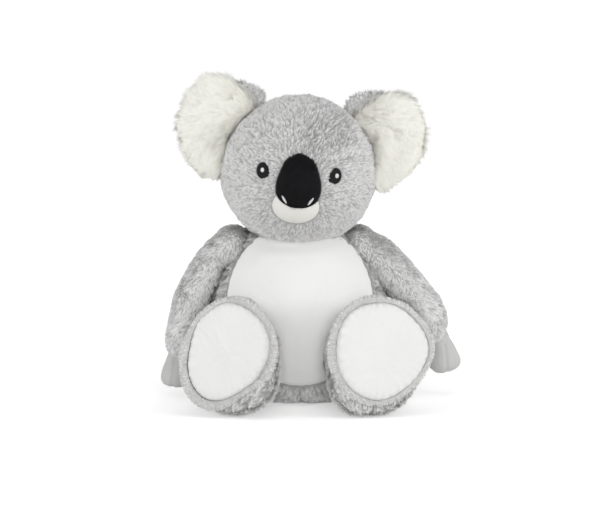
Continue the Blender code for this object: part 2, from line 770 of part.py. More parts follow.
def make_leg(side, sign, cleared):
    hip = Vector((sign * HIP_OUT, -HIP_FORWARD, HIP_HEIGHT))
    pivot = add_pivot(f"hip_pivot_{side}", hip)
    frames = leg_frames(side, sign)
    sections = []
    for (centre, across, up), (_, width, height, _, _) in zip(frames, LEG_SECTION_SHARES):
        sections.append((centre, across * width * FOOT_HALF_WIDTH, up * height * FOOT_HALF_HEIGHT))
    leg = soft_form(f"leg_{side}", sections, LIMB_SIDES, LIMB_LEVELS, grey_plush, pivot)
    plain = grown_copy(leg, f"leg_form_{side}", 0)

    centre, across, up = frames[-1]
    patch = Patch(
        plain,
        centre,
        oval(SOLE_HALF_WIDTH, SOLE_HALF_HEIGHT),
        SOLE_CROWN,
        SOLE_THICKNESS,
        (PATCH_SEGMENTS, 3, 2),
        LEG_LENGTH,
        across,
        up,
    )
    sole = patch.build(f"sole_{side}", koala, white_panel, pivot)
    patch.cut_seat(leg, name=f"sole_seat_{side}", parent=pivot)

    edge = patch.point(0, 1)[0]
    face = centre + patch.inward * (edge - centre).dot(patch.inward)
    rim_tube(f"foot_rim_{side}", face, across, up, RIM_RADIUS, pivot, koala, grey_plush)
    groove = rim_tube(f"rim_groove_{side}", face, across, up, RIM_RADIUS + SEAM_GAP, pivot, guides)
    combine(leg, groove)
    combine(sole, groove)

    combine(leg, cleared)
    combine(leg, ball(f"hip_ball_{side}", HIP_BALL_RADIUS, guides, pivot), "UNION")
    far = Vector((TORSO_WIDTH, TORSO_DEPTH + LEG_LENGTH, 0))
    combine(leg, block(f"heel_cut_{side}", -far - UP * CUT_OVERRUN * 2, far + UP * FLOOR_LIFT))
    socket = ball(f"hip_socket_{side}", HIP_BALL_RADIUS + BALL_GAP, guides, pivot)
    return socket


clear_scene()
koala = new_collection("plush_koala")
guides = new_collection("guides_and_cutters")

grey_plush = make_material("grey plush")
white_panel = make_material("white panel")
white_plush = make_material("white plush")
grey_velour = make_material("grey velour")
cream_velour = make_material("cream velour")
black_velour = make_material("black velour")
black_thread = make_material("black thread")
white_thread = make_material("white thread")
liner_cloth = make_material("liner cloth")

body, torso_form, torso_clearance, neck_seat = make_torso()
belly = make_belly(body, torso_form, neck_seat)
make_base(body)
neck, head, head_form, head_clearance = make_head()
make_face(neck, head, head_form)
for side, sign in SIDES.items():
    make_ear(side, sign, neck, head_form, head_clearance)
    shoulder_socket = make_arm(side, sign, torso_clearance, neck_seat)
    hip_socket = make_leg(side, sign, torso_clearance)
    for socket in (shoulder_socket, hip_socket):
        combine(body, socket)
        combine(belly, socket)
bpy.context.view_layer.update()
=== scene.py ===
import itertools
import math

import bmesh
import bpy
import numpy as np
from mathutils import Matrix, Vector
from mathutils.bvhtree import BVHTree
from mathutils.kdtree import KDTree


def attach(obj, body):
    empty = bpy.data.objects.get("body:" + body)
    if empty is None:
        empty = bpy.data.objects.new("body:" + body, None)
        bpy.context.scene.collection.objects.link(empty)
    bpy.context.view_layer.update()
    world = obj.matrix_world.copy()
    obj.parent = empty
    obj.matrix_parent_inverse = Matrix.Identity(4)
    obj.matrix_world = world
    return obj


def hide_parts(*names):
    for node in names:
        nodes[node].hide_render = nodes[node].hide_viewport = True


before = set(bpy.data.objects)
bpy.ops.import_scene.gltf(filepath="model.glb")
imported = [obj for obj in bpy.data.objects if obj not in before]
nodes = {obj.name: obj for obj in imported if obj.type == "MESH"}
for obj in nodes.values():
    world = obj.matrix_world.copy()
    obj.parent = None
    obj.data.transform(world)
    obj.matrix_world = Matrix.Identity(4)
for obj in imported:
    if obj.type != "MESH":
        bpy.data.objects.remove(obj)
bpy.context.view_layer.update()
sideSigns = {"right": -1.0, "left": 1.0}   # the toy's own sides
print("frame loaded")


# where the sewn-on pieces lie, as in the pattern: places in metres, turns in degrees

pattern = {
    "neck": (-0.001, -0.004, 0.2155), "headTilt": 4.5, "belly": (0, 0, 0.093), "ear": (0.080, 0.004, 0.036),
    "hip": (0.050, -0.040, 0.046), "legReach": 0.080, "soleRise": 0.013, "solePitch": 6.0,
    "legTurn": {"right": -10.0, "left": 16.5}, "soleTurn": {"right": -18.0, "left": 10.5},
}
neckFrame = Matrix.Translation(pattern["neck"]) @ Matrix.Rotation(math.radians(pattern["headTilt"]), 4, "Y")
bellyFrame = Matrix.Translation(pattern["belly"])


def turned(turn, pitch=0.0):
    return Matrix.Rotation(math.radians(turn), 3, "Z") @ Matrix.Rotation(math.radians(-pitch), 3, "X")


def onSide(side, place):
    return sideSigns[side] * place[0], place[1], place[2]


def soleFrameOf(side):
    along = turned(pattern["legTurn"][side]) @ Vector((0, -pattern["legReach"], 0))
    centre = Vector(onSide(side, pattern["hip"])) + along + Vector((0, 0, pattern["soleRise"]))
    return Matrix.Translation(centre) @ turned(pattern["soleTurn"][side], pattern["solePitch"]).to_4x4()


def earFrameOf(side):
    return neckFrame @ Matrix.Translation(onSide(side, pattern["ear"]))


# small tools

def unit(vectors):
    return vectors / np.maximum(np.linalg.norm(vectors, axis=-1, keepdims=True), 1e-9)


# smooth noise from -1 to 1, the same for the same place
def softNoise(points, size, seed=0):
    grid = points / size
    cell = np.floor(grid).astype(np.int64)
    part = grid - cell
    part = part * part * (3 - 2 * part)
    total = np.zeros(len(points))
    for corner in itertools.product((0, 1), repeat=3):
        spot = cell + np.array(corner)
        mixed = spot[:, 0] * 73856093 ^ spot[:, 1] * 19349663 ^ spot[:, 2] * 83492791 ^ (seed * 2654435761)
        mixed = ((mixed ^ (mixed >> 13)) * 1274126177) & 0xFFFFFFFF
        mixed = (mixed ^ (mixed >> 16)) & 0xFFFF
        weight = np.prod(np.where(corner, part, 1 - part), axis=1)
        total += weight * mixed / 0xFFFF
    return total * 2 - 1


def meshArrays(obj):
    mesh = obj.data
    mesh.calc_loop_triangles()
    co = np.zeros(len(mesh.vertices) * 3)
    mesh.vertices.foreach_get("co", co)
    normals = np.zeros(len(mesh.vertices) * 3)
    mesh.vertices.foreach_get("normal", normals)
    tris = np.zeros(len(mesh.loop_triangles) * 3, np.int32)
    mesh.loop_triangles.foreach_get("vertices", tris)
    return co.reshape(-1, 3), normals.reshape(-1, 3), tris.reshape(-1, 3)


def movePoints(obj, co):
    obj.data.vertices.foreach_set("co", co.ravel())
    obj.data.update()


def treeOf(*objs):
    points, faces = [], []
    for obj in objs:
        co, _, tris = meshArrays(obj)
        faces += (tris + len(points)).tolist()
        points += co.tolist()
    return BVHTree.FromPolygons(points, faces)


def putInScene(name, data):
    obj = bpy.data.objects.new(name, data)
    bpy.context.scene.collection.objects.link(obj)
    return obj


def newMesh(name, bm):
    mesh = bpy.data.meshes.new(name)
    bm.to_mesh(mesh)
    bm.free()
    return mesh


def newPiece(name, bm, material, body):
    bmesh.ops.recalc_face_normals(bm, faces=bm.faces)
    mesh = newMesh(name, bm)
    mesh.shade_smooth()
    mesh.materials.append(material)
    obj = putInScene(name, mesh)
    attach(obj, body)
    return obj


# faces between each loop of points and the next, where a loop of one point is a middle
def bridge(bm, loops, flipped=False):
    around = max(len(loop) for loop in loops)
    for near, far in zip(loops, loops[1:]):
        for k in range(around):
            after = (k + 1) % around
            ring = [near[k % len(near)], far[k % len(far)], far[after % len(far)], near[after % len(near)]]
            if flipped:
                ring[1:] = ring[:0:-1]
            bm.faces.new(list(dict.fromkeys(ring)))


def bakedMesh(obj):
    graph = bpy.context.evaluated_depsgraph_get()
    graph.update()
    return bpy.data.meshes.new_from_object(obj.evaluated_get(graph), depsgraph=graph)


# stuffed skins, made from the frame's own solids

def stuffedSkin(name, fromNodes, material, body, voxel, smooths, swell=0.0):
    bm = bmesh.new()
    for nodeName in fromNodes:
        bm.from_mesh(nodes[nodeName].data)
    bmesh.ops.remove_doubles(bm, verts=bm.verts, dist=0.00001)
    skin = newPiece(name, bm, material, body)
    remesh = skin.modifiers.new("voxels", "REMESH")
    remesh.mode = "VOXEL"
    remesh.voxel_size = voxel
    soften = skin.modifiers.new("soften", "SMOOTH")
    soften.iterations = smooths
    soften.factor = 0.5
    skin.data = bakedMesh(skin)
    skin.modifiers.clear()
    skin.data.materials.clear()
    skin.data.materials.append(material)
    co, normals, _ = meshArrays(skin)
    movePoints(skin, co + normals * swell)
    skin.data.shade_smooth()
    return skin


# moves every point of a skin by a rule for its points and normals
def reshape(skin, rule):
    co, normals, _ = meshArrays(skin)
    movePoints(skin, rule(co, normals))


def local(points, place):
    back = np.array(place.inverted())
    return points @ back[:3, :3].T + back[:3, 3]


def placed(points, place):
    out = np.array(place)
    return points @ out[:3, :3].T + out[:3, 3]


# soft hills and hollows where the stuffing has settled
def roll(skin, size, depth, seed):
    co, normals, _ = meshArrays(skin)
    heights = softNoise(co, size, seed) + 0.5 * softNoise(co, size * 0.47, seed + 1)
    movePoints(skin, co + normals * (heights * depth)[:, None])


# lets sewn cloth swell round its stuffing, held where it is sewn
def puffUp(skin, sewn, look):
    scene = bpy.context.scene
    before, _, _ = meshArrays(skin)
    group = skin.vertex_groups.new(name="sewn")
    group.add(np.flatnonzero(sewn).tolist(), 1.0, "REPLACE")
    cloth = skin.modifiers.new("cloth", "CLOTH")
    settings = cloth.settings
    settings.vertex_group_mass = "sewn"
    settings.quality = look["quality"]
    settings.mass = look["mass"]
    settings.tension_stiffness = look["stretch"]
    settings.compression_stiffness = look["stretch"]
    settings.bending_stiffness = look["bend"]
    settings.shrink_min = -look["loose"]
    settings.use_pressure = True
    settings.uniform_pressure_force = look["pressure"]
    settings.effector_weights.gravity = 0
    cloth.point_cache.frame_end = look["frames"]
    for step in range(1, look["frames"] + 1):
        scene.frame_set(step)
    after, _, _ = meshArrays(skin.evaluated_get(bpy.context.evaluated_depsgraph_get()))
    skin.modifiers.clear()
    skin.vertex_groups.clear()
    scene.frame_set(1)
    move = after - before
    far = np.linalg.norm(move, axis=1, keepdims=True)
    movePoints(skin, before + move * np.minimum(1, look["most"] / np.maximum(far, 1e-9)))
    print(f"{skin.name}: cloth settled, {far.max() * 1000:.1f} mm at most")


# pile: bent, tapered tufts rooted all over a skin

def scatter(skin, perSquareMm, rng):
    co, normals, tris = meshArrays(skin)
    a, b, c = (co[tris[:, k]] for k in range(3))
    areas = np.linalg.norm(np.cross(b - a, c - a), axis=1) / 2
    count = int(areas.sum() * 1e6 * perSquareMm)
    picks = np.searchsorted(np.cumsum(areas), rng.random(count) * areas.sum())
    picks = np.minimum(picks, len(tris) - 1)
    u, v = rng.random((2, count))
    flip = u + v > 1
    u[flip], v[flip] = 1 - u[flip], 1 - v[flip]
    mix = np.stack([1 - u - v, u, v], axis=1)[:, :, None]
    corners = tris[picks]
    return (co[corners] * mix).sum(1), unit((normals[corners] * mix).sum(1))


# roots with their normals, the share of the full length that each tuft has, and the room before it
def plantRoots(skin, coat, keep, lengths, neighbours, rng):
    roots, normals = scatter(skin, coat["perSquareMm"], rng)
    if keep is not None:
        inside = rng.random(len(roots)) < keep(roots, normals)
        roots, normals = roots[inside], normals[inside]
    scale = np.ones(len(roots)) if lengths is None else lengths(roots, normals)
    room = np.full(len(roots), coat["openRoom"])
    if neighbours is not None:
        for k, root in enumerate(roots):
            spot, facing, _, away = neighbours.find_nearest(root, coat["nearRoom"])
            if spot is not None:
                room[k] = away if (Vector(root) - spot).dot(facing) > 0 else -away
        free = room > -coat["sunk"]
        roots, normals, scale, room = roots[free], normals[free], scale[free], room[free]
        scale = scale * np.clip(0.5 + room / coat["crowdRoom"], 0.5, 1.0)
    return roots, normals, scale, room


# the way that each tuft is combed, along the cloth, with swirls, and the way across it
def combTufts(roots, normals, way, rough, coat, rng):
    seed, size = coat["seed"], coat["swirlSize"]
    swirl = softNoise(roots, size, seed) * coat["swirl"]
    swirl = swirl + softNoise(roots, size * 0.3, seed + 1) * coat["swirl"] * 0.6
    swirl = swirl * (1 + 0.8 * rough) + softNoise(roots, coat["stirSize"], seed + 7) * coat["stir"]
    swirl = np.radians(swirl + rng.normal(0, coat["stray"], len(roots)))[:, None]
    way = unit(way - normals * (way * normals).sum(1, keepdims=True))
    side = np.cross(normals, way)
    way = way * np.cos(swirl) + side * np.sin(swirl)
    return way, np.cross(normals, way)


# the middle points of each tuft from root to tip, and the way across it
def bendTufts(roots, normals, scale, rough, coat, comb, rng):
    count, seed, stations = len(roots), coat["seed"], coat["stations"]
    way = unit(comb(roots, normals))
    widest = np.degrees(np.arccos(np.clip((way * normals).sum(1), -1, 1)))
    way, side = combTufts(roots, normals, way, rough, coat, rng)
    lean = coat["lean"] + softNoise(roots, coat["swirlSize"] * 0.4, seed + 2) * coat["leanSwing"]
    lean = lean + rng.normal(0, coat["leanSwing"] * 0.4, count)
    lean = lean - rough * (14 + 16 * softNoise(roots, 0.006, seed + 5))
    lean = np.minimum(lean, widest + coat["splay"])
    length = coat["length"] * scale * (1 + softNoise(roots, 0.006, seed + 3) * coat["uneven"])
    length = length * rng.uniform(0.8, 1.15, count)
    points = [roots - normals * 0.0004]
    here = roots
    waveTurn = rng.uniform(0, 2 * math.pi, count)
    for k in range(1, stations + 1):
        t = k / stations
        tilt = np.radians(np.clip(lean + (t - 0.5) * coat["droop"], 5, 88))[:, None]
        step = normals * np.cos(tilt) + way * np.sin(tilt)
        wave = np.sin(waveTurn + t * 5.0)[:, None] * side * coat["wave"]
        here = here + (step + wave) * (length / stations)[:, None]
        points.append(here)
    return points, side


# tufts close in on a leader towards the tips, and none goes through the floor
def clumpTufts(points, roots, rough, coat, rng):
    count = len(roots)
    clumps = max(1, int(count / coat["perClump"]))
    leaders = rng.choice(count, clumps, replace=False)
    tree = KDTree(clumps)
    for k, leader in enumerate(leaders):
        tree.insert(roots[leader], k)
    tree.balance()
    mine = leaders[np.array([tree.find(root)[1] for root in roots])]
    for k in range(1, len(points)):
        pull = ((coat["pull"] + 0.25 * rough) * (k / coat["stations"]) ** 1.3)[:, None]
        points[k] = points[k] + (points[k][mine] - points[k]) * pull
    for row in points:
        row[:, 2] = np.maximum(row[:, 2], 0.0006)
    return mine


# the corners of every tuft, two at each station and one at the tip, and their shading normals
def cutTufts(points, normals, side, scale, mine, coat, rng):
    count, stations = len(normals), coat["stations"]
    tilted = np.radians(rng.normal(0, coat["roll"], count))[:, None]
    across = side * np.cos(tilted) + normals * np.sin(tilted)
    tuftWay = unit(points[stations] - points[0])
    outward = (np.cross(across, tuftWay) * normals).sum(1, keepdims=True)
    across = across * np.where(outward < 0, -1, 1)
    facing = unit(np.cross(across, tuftWay))
    width = coat["width"] * rng.uniform(0.75, 1.2, count)[:, None] * (0.6 + 0.4 * scale[:, None])
    rows = []
    for k in range(stations):
        half = across * width * coat["taper"][k] / 2
        rows += [points[k] - half, points[k] + half]
    rows.append(points[stations])
    clumpTilt = unit(points[stations] - points[stations][mine] + normals * 0.0015)
    shade = unit(normals * coat["normalKeep"] + facing * (1 - coat["normalKeep"]) + clumpTilt * 0.25)
    return np.stack(rows, axis=1).reshape(-1, 3), np.repeat(shade, len(rows), axis=0)


# which corners each face of every tuft has, and how many
def tuftFaces(count, stations):
    base = np.arange(count)[:, None] * (2 * stations + 1)
    loops, totals = [], []
    for k in range(stations - 1):
        loops.append(base + np.array([2 * k, 2 * k + 1, 2 * k + 3, 2 * k + 2]))
        totals.append(np.full((count, 1), 4))
    last = 2 * (stations - 1)
    loops.append(base + np.array([last, last + 1, last + 2]))
    totals.append(np.full((count, 1), 3))
    return np.concatenate(loops, axis=1).ravel(), np.concatenate(totals, axis=1).ravel()


def addMap(mesh, name, u, v):
    layer = mesh.uv_layers.new(name=name)
    layer.data.foreach_set("uv", np.stack([u, v], 1).astype(np.float32).ravel())


def tuftMesh(name, co, shade, tones, stations):
    count = len(tones)
    loops, totals = tuftFaces(count, stations)
    mesh = bpy.data.meshes.new(name)
    mesh.vertices.add(len(co))
    mesh.vertices.foreach_set("co", co.ravel())
    mesh.loops.add(len(loops))
    mesh.loops.foreach_set("vertex_index", loops.astype(np.int32))
    mesh.polygons.add(len(totals))
    starts = np.concatenate([[0], np.cumsum(totals)[:-1]])
    mesh.polygons.foreach_set("loop_start", starts.astype(np.int32))
    mesh.polygons.foreach_set("loop_total", totals.astype(np.int32))
    mesh.update(calc_edges=True)
    mesh.shade_smooth()

    # one cell of the sheet for each tuft, and its height and tone beside it
    cells = math.ceil(math.sqrt(count))
    cellX, cellY = np.arange(count) % cells, np.arange(count) // cells
    high = np.repeat(np.arange(stations) / stations, 2).tolist() + [1.0]
    sideways = [0.1, 0.9] * stations + [0.5]
    cellU = (cellX[:, None] + np.array(sideways)[None] * 0.9 + 0.05) / cells
    cellV = (cellY[:, None] + np.array(high)[None] * 0.9 + 0.05) / cells
    addMap(mesh, "OFBake", cellU.ravel()[loops], cellV.ravel()[loops])
    addMap(mesh, "strand", np.repeat(tones, len(high))[loops], np.tile(np.array(high), count)[loops])
    mesh.normals_split_custom_set_from_vertices(shade.astype(np.float32))
    return mesh


def growPile(name, skin, coat, comb, material, body, keep=None, lengths=None, neighbours=None, tousle=None):
    rng = np.random.default_rng(coat["seed"])
    roots, normals, scale, room = plantRoots(skin, coat, keep, lengths, neighbours, rng)
    count = len(roots)
    rough = np.zeros(count) if tousle is None else tousle(roots, normals)
    # close to a neighbouring piece the pile is rubbed flat and its tones are darkened, painted shade where
    # the parts meet
    if neighbours is not None:
        rough = np.maximum(rough, coat["rubbedAndShaded"] * np.exp(-((room / coat["rubbedAndShadedReach"]) ** 2)))
    points, side = bendTufts(roots, normals, scale, rough, coat, comb, rng)
    mine = clumpTufts(points, roots, rough, coat, rng)
    tones = rng.random(count)
    # tousled and rubbed tufts take darker clump tones: painted shade in the gaps of parted pile and where the
    # pile lies against another piece
    clumpTones = (rng.random(count) ** (1 + 2.5 * rough))[mine]
    co, shade = cutTufts(points, normals, side, scale, mine, coat, rng)
    mesh = tuftMesh(name, co, shade, 0.3 * tones + 0.7 * clumpTones, coat["stations"])
    mesh.materials.append(material)
    pile = putInScene(name, mesh)
    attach(pile, body)
    print(f"{name}: {count} tufts")


# materials

def newMaterial(name, roughness, sheen=0.0, specular=0.2):
    material = bpy.data.materials.new(name)
    material.use_nodes = True
    shader = material.node_tree.nodes["Principled BSDF"]
    shader.inputs["Roughness"].default_value = roughness
    shader.inputs["Specular IOR Level"].default_value = specular
    shader.inputs["Sheen Weight"].default_value = sheen
    shader.inputs["Sheen Roughness"].default_value = 0.5
    return material, shader


# short ways to add and join shader nodes
class Wires:
    def __init__(self, owner):
        self.tree = owner.node_tree

    def node(self, kind, **settings):
        made = self.tree.nodes.new("ShaderNode" + kind)
        for key, value in settings.items():
            setattr(made, key, value)
        return made

    def link(self, source, target):
        self.tree.links.new(source, target)

    def maths(self, operation, *values):
        made = self.node("Math", operation=operation)
        for slot, value in zip(made.inputs, values):
            if isinstance(value, (int, float)):
                slot.default_value = value
            else:
                self.link(value, slot)
        return made.outputs[0]

    def noise(self, scale, detail=2.0, stretch=None):
        coords = self.node("TexCoord").outputs["Object"]
        if stretch:
            mapping = self.node("Mapping")
            mapping.inputs["Scale"].default_value = stretch
            self.link(coords, mapping.inputs["Vector"])
            coords = mapping.outputs["Vector"]
        made = self.node("TexNoise")
        made.inputs["Scale"].default_value = scale
        made.inputs["Detail"].default_value = detail
        self.link(coords, made.inputs["Vector"])
        return made.outputs["Fac"]

    def scaled(self, colour, amount):
        made = self.node("VectorMath", operation="SCALE")
        self.link(colour, made.inputs[0])
        self.link(amount, made.inputs["Scale"])
        return made.outputs[0]

    def between(self, factor, low, high):
        made = self.node("ValToRGB")
        made.color_ramp.elements[0].color = (*low, 1)
        made.color_ramp.elements[1].color = (*high, 1)
        self.link(factor, made.inputs[0])
        return made.outputs[0]

    def bump(self, height, distance, strength, shader):
        made = self.node("Bump")
        made.inputs["Distance"].default_value = distance
        made.inputs["Strength"].default_value = strength
        self.link(height, made.inputs["Height"])
        self.link(made.outputs[0], shader.inputs["Normal"])


# darker at the roots, paler at the tips, each tuft and each patch a little different; the darker roots are
# painted shade deep in the pile
def pileMaterial(name, look):
    material, shader = newMaterial(name, 0.95, look["sheen"], 0.1)
    wires = Wires(material)
    strand = wires.node("UVMap", uv_map="strand")
    split = wires.node("SeparateXYZ")
    wires.link(strand.outputs[0], split.inputs[0])
    colour = wires.between(split.outputs[1], look["root"], look["tip"])
    patchNoise = wires.noise(look["patchScale"], 3.0)
    patches = wires.maths("MULTIPLY_ADD", patchNoise, look["patchy"], 1 - look["patchy"] / 2)
    tones = wires.between(wires.maths("DIVIDE", split.outputs[0], 0.45), [1 - look["heather"]] * 3, [1.0] * 3)
    flecks = wires.maths("MULTIPLY_ADD", wires.noise(700.0, 2.0), look["flecks"], 1 - look["flecks"] / 2)
    both = wires.maths("MULTIPLY", wires.maths("MULTIPLY", patches, tones), flecks)
    shades = wires.scaled(colour, both)
    wires.link(shades, shader.inputs["Base Color"])

    # a tuft seen from behind shows the light that comes through it
    through = wires.node("BsdfTranslucent")
    wires.link(shades, through.inputs["Color"])
    mixed = wires.node("MixShader")
    wires.link(wires.node("NewGeometry").outputs["Backfacing"], mixed.inputs[0])
    wires.link(shader.outputs[0], mixed.inputs[1])
    wires.link(through.outputs[0], mixed.inputs[2])
    wires.link(mixed.outputs[0], material.node_tree.nodes["Material Output"].inputs["Surface"])
    return material


# the knitted backing that shows between the tufts
def backingMaterial(name, colour):
    material, shader = newMaterial(name, 1.0, 0.1, 0.05)
    wires = Wires(material)
    shades = wires.between(wires.noise(420.0, 3.0), [0.75 * c for c in colour], colour)
    wires.link(shades, shader.inputs["Base Color"])
    wires.bump(wires.noise(600.0, 3.0), 0.0006, 0.6, shader)
    return material


# short smooth pile or brushed cloth: a faint knit, and clouds where the nap lies over
def nappedMaterial(name, look):
    material, shader = newMaterial(name, look["roughness"], look["sheen"], look["specular"])
    wires = Wires(material)
    clouds = wires.noise(look["cloudScale"], 4.0)
    shades = wires.between(clouds, look["dark"], look["light"])
    grain = wires.noise(look["grainScale"], 2.0, look["grainStretch"])
    fine = wires.maths("MULTIPLY_ADD", grain, look["grain"], 1 - look["grain"] / 2)
    wires.link(wires.scaled(shades, fine), shader.inputs["Base Color"])
    wires.bump(grain, look["bumpDepth"], look["bump"], shader)
    return material


def threadMaterial(name, colour, sheen, gloss):
    material, shader = newMaterial(name, 0.5, sheen, gloss)
    wires = Wires(material)
    twist = wires.noise(2500.0, 1.0, (1, 1, 0.3))
    wires.link(wires.between(twist, [0.7 * c for c in colour], colour), shader.inputs["Base Color"])
    wires.bump(twist, 0.0002, 0.5, shader)
    return material


greyLook = {
    "root": (0.40, 0.397, 0.395), "tip": (0.875, 0.872, 0.868), "sheen": 0.3, "patchScale": 22.0,
    "patchy": 0.08, "heather": 0.42, "flecks": 0.08}
# the sleeves' copy of the grey plush is paler than the rest: painted light on the arms
sleeveLitGreyLook = dict(greyLook, root=(0.53, 0.527, 0.525), tip=(0.95, 0.947, 0.943), heather=0.38)
rimGreyLook = dict(greyLook, root=(0.50, 0.50, 0.49), tip=(0.86, 0.86, 0.85), heather=0.20, flecks=0.06)
whiteLook = {
    "root": (0.72, 0.705, 0.63), "tip": (0.872, 0.872, 0.84), "sheen": 0.3, "patchScale": 30.0,
    "patchy": 0.06, "heather": 0.14, "flecks": 0.04}
blackLook = {
    "root": (0.005, 0.005, 0.006), "tip": (0.012, 0.012, 0.014), "sheen": 0.10, "patchScale": 60.0,
    "patchy": 0.2, "heather": 0.3, "flecks": 0.1}
greyPile = pileMaterial("greyPlush", greyLook)
sleeveLitPile = pileMaterial("greySleevePlushLit", sleeveLitGreyLook)
rimPile = pileMaterial("paleGreyPlush", rimGreyLook)
whitePile = pileMaterial("whiteEarPlush", whiteLook)
blackPile = pileMaterial("blackVelourPile", blackLook)
greyBacking = backingMaterial("greyBacking", (0.46, 0.46, 0.455))
paleBacking = backingMaterial("paleGreyBacking", (0.68, 0.68, 0.67))
whiteBacking = backingMaterial("whiteBacking", (0.88, 0.87, 0.83))

panelLook = {
    "dark": (0.76, 0.765, 0.745), "light": (0.81, 0.815, 0.795), "roughness": 0.9, "sheen": 0.2,
    "specular": 0.15, "cloudScale": 30.0, "grainScale": 900.0, "grainStretch": (1, 1, 0.25),
    "grain": 0.06, "bumpDepth": 0.0003, "bump": 0.3}
# the belly and the soles share one white cloth in two tones: the belly's paler copy is painted light, the
# soles' darker panel tone painted shade
bellyLitClothLook = dict(panelLook, dark=(0.84, 0.84, 0.82), light=(0.885, 0.885, 0.865))
velourLook = dict(panelLook, specular=0.1, cloudScale=60.0, grainScale=1400.0, grainStretch=(1, 1, 0.4))
handClothLook = dict(velourLook, dark=(0.52, 0.52, 0.51), light=(0.60, 0.60, 0.59), sheen=0.35, grain=0.08)
chinClothLook = dict(velourLook, dark=(0.76, 0.75, 0.71), light=(0.81, 0.80, 0.76), sheen=0.3,
                     cloudScale=80.0)
noseClothLook = dict(
    velourLook, dark=(0.004, 0.004, 0.005), light=(0.009, 0.009, 0.010), roughness=0.75, sheen=0.06,
    cloudScale=90.0, grainScale=1600.0, grainStretch=(1, 1, 0.5), grain=0.3, bump=0.4)
linerLook = dict(panelLook, dark=(0.66, 0.66, 0.63), light=(0.74, 0.74, 0.71), sheen=0.1, specular=0.2,
                 cloudScale=50.0, grainScale=1200.0, grainStretch=(1, 0.3, 1), grain=0.12, bump=0.5)
soleShadedCloth = nappedMaterial("whiteSoleClothShaded", panelLook)
bellyLitCloth = nappedMaterial("whiteBellyClothLit", bellyLitClothLook)
handCloth = nappedMaterial("greyVelour", handClothLook)
chinCloth = nappedMaterial("creamVelour", chinClothLook)
noseCloth = nappedMaterial("blackVelour", noseClothLook)
linerCloth = nappedMaterial("linerCloth", linerLook)
blackThread = threadMaterial("blackThread", (0.008, 0.008, 0.009), 0.02, 0.15)
whiteThread = threadMaterial("whiteThread", (0.85, 0.85, 0.85), 0.2, 0.4)
print("materials made")


# pads sewn onto a skin

def ovalEdge(halfWidth, halfHeight, taper=0.0, top=None):
    def edge(turn):
        across = halfWidth * math.cos(turn) * (1 - taper * math.sin(turn))
        up = halfHeight * math.sin(turn)
        return across, up if top is None else min(up, top)
    return edge


def teardropEdge(halfWidth, halfHeight, point, pointTurn):
    def edge(turn):
        reach = 1 + point * max(0.0, math.cos(turn - pointTurn)) ** 8
        return halfWidth * math.cos(turn) * reach, halfHeight * math.sin(turn) * reach
    return edge


# the value at a turn, on a smooth closed curve through evenly spaced values
def aroundTable(shares, turn):
    spot = turn / (2 * math.pi) * len(shares)
    k, t = math.floor(spot), spot - math.floor(spot)
    a, b, c, d = (shares[(k + j) % len(shares)] for j in (-1, 0, 1, 2))
    return b + 0.5 * t * (c - a + t * (2 * a - 5 * b + 4 * c - d + t * (3 * (b - c) + d - a)))


def tableEdge(halfWidth, halfHeight, shares):
    def edge(turn):
        share = aroundTable(shares, turn)
        return halfWidth * math.cos(turn) * share, halfHeight * math.sin(turn) * share
    return edge


def leaned(turn, halfWidth, halfHeight, lean):
    a, b = halfWidth * math.cos(turn), halfHeight * math.sin(turn)
    way = math.radians(lean)
    return a * math.cos(way) - b * math.sin(way), a * math.sin(way) + b * math.cos(way)


# the point of the skin straight behind a place on the pad's plane, and the skin's slope there
def onSkin(tree, place, a, b, step=0.003):
    def under(x, z):
        start = place @ Vector((x, -0.2, z))
        return tree.ray_cast(start, place.to_3x3() @ Vector((0, 1, 0)))[0]
    point = under(a, b)
    if point is None:
        point = tree.find_nearest(place @ Vector((a, -0.02, b)))[0]
    left, right, low, high = under(a - step, b), under(a + step, b), under(a, b - step), under(a, b + step)
    along = (right or point) - (left or point)
    above = (high or point) - (low or point)
    return point, along.cross(above).normalized()


# a pad whose rise(share, turn, a, b) is its height over the skin, tucked into a seam at its edge
def sewnPad(name, tree, place, edge, look, material, body):
    bm = bmesh.new()
    segments, rings = look["segments"], look["rings"]
    over = [(1 - (1 - ring / rings) ** 1.25, False) for ring in range(rings + 1)]
    under = [(share, True) for share in (1.0, 0.8, 0.5, 0.25, 0.0)]
    loops = []
    for share, below in over + under:
        loop = []
        for k in range(segments if share else 1):
            turn = 2 * math.pi * (k + 0.37) / segments
            a, b = (reach * share for reach in edge(turn))
            point, slope = onSkin(tree, place, a, b, look.get("step", 0.003))
            lift = -look["depth"] if below else look["rise"](share, turn, a, b)
            loop.append(bm.verts.new(point + slope * lift))
        loops.append(loop)
    bridge(bm, loops)
    return newPiece(name, bm, material, body)


# one thread lying along the points
def layThread(bm, points, slopes, radius, sides=6):
    rings = []
    for k, point in enumerate(points):
        along = (points[min(k + 1, len(points) - 1)] - points[max(k - 1, 0)]).normalized()
        side = slopes[k].cross(along).normalized()
        rings.append([
            bm.verts.new(point + (side * math.cos(t) + slopes[k] * math.sin(t) * 0.8) * radius)
            for t in (2 * math.pi * j / sides for j in range(sides))
        ])
    bridge(bm, rings, flipped=True)
    bm.faces.new(rings[0])
    bm.faces.new(rings[-1])


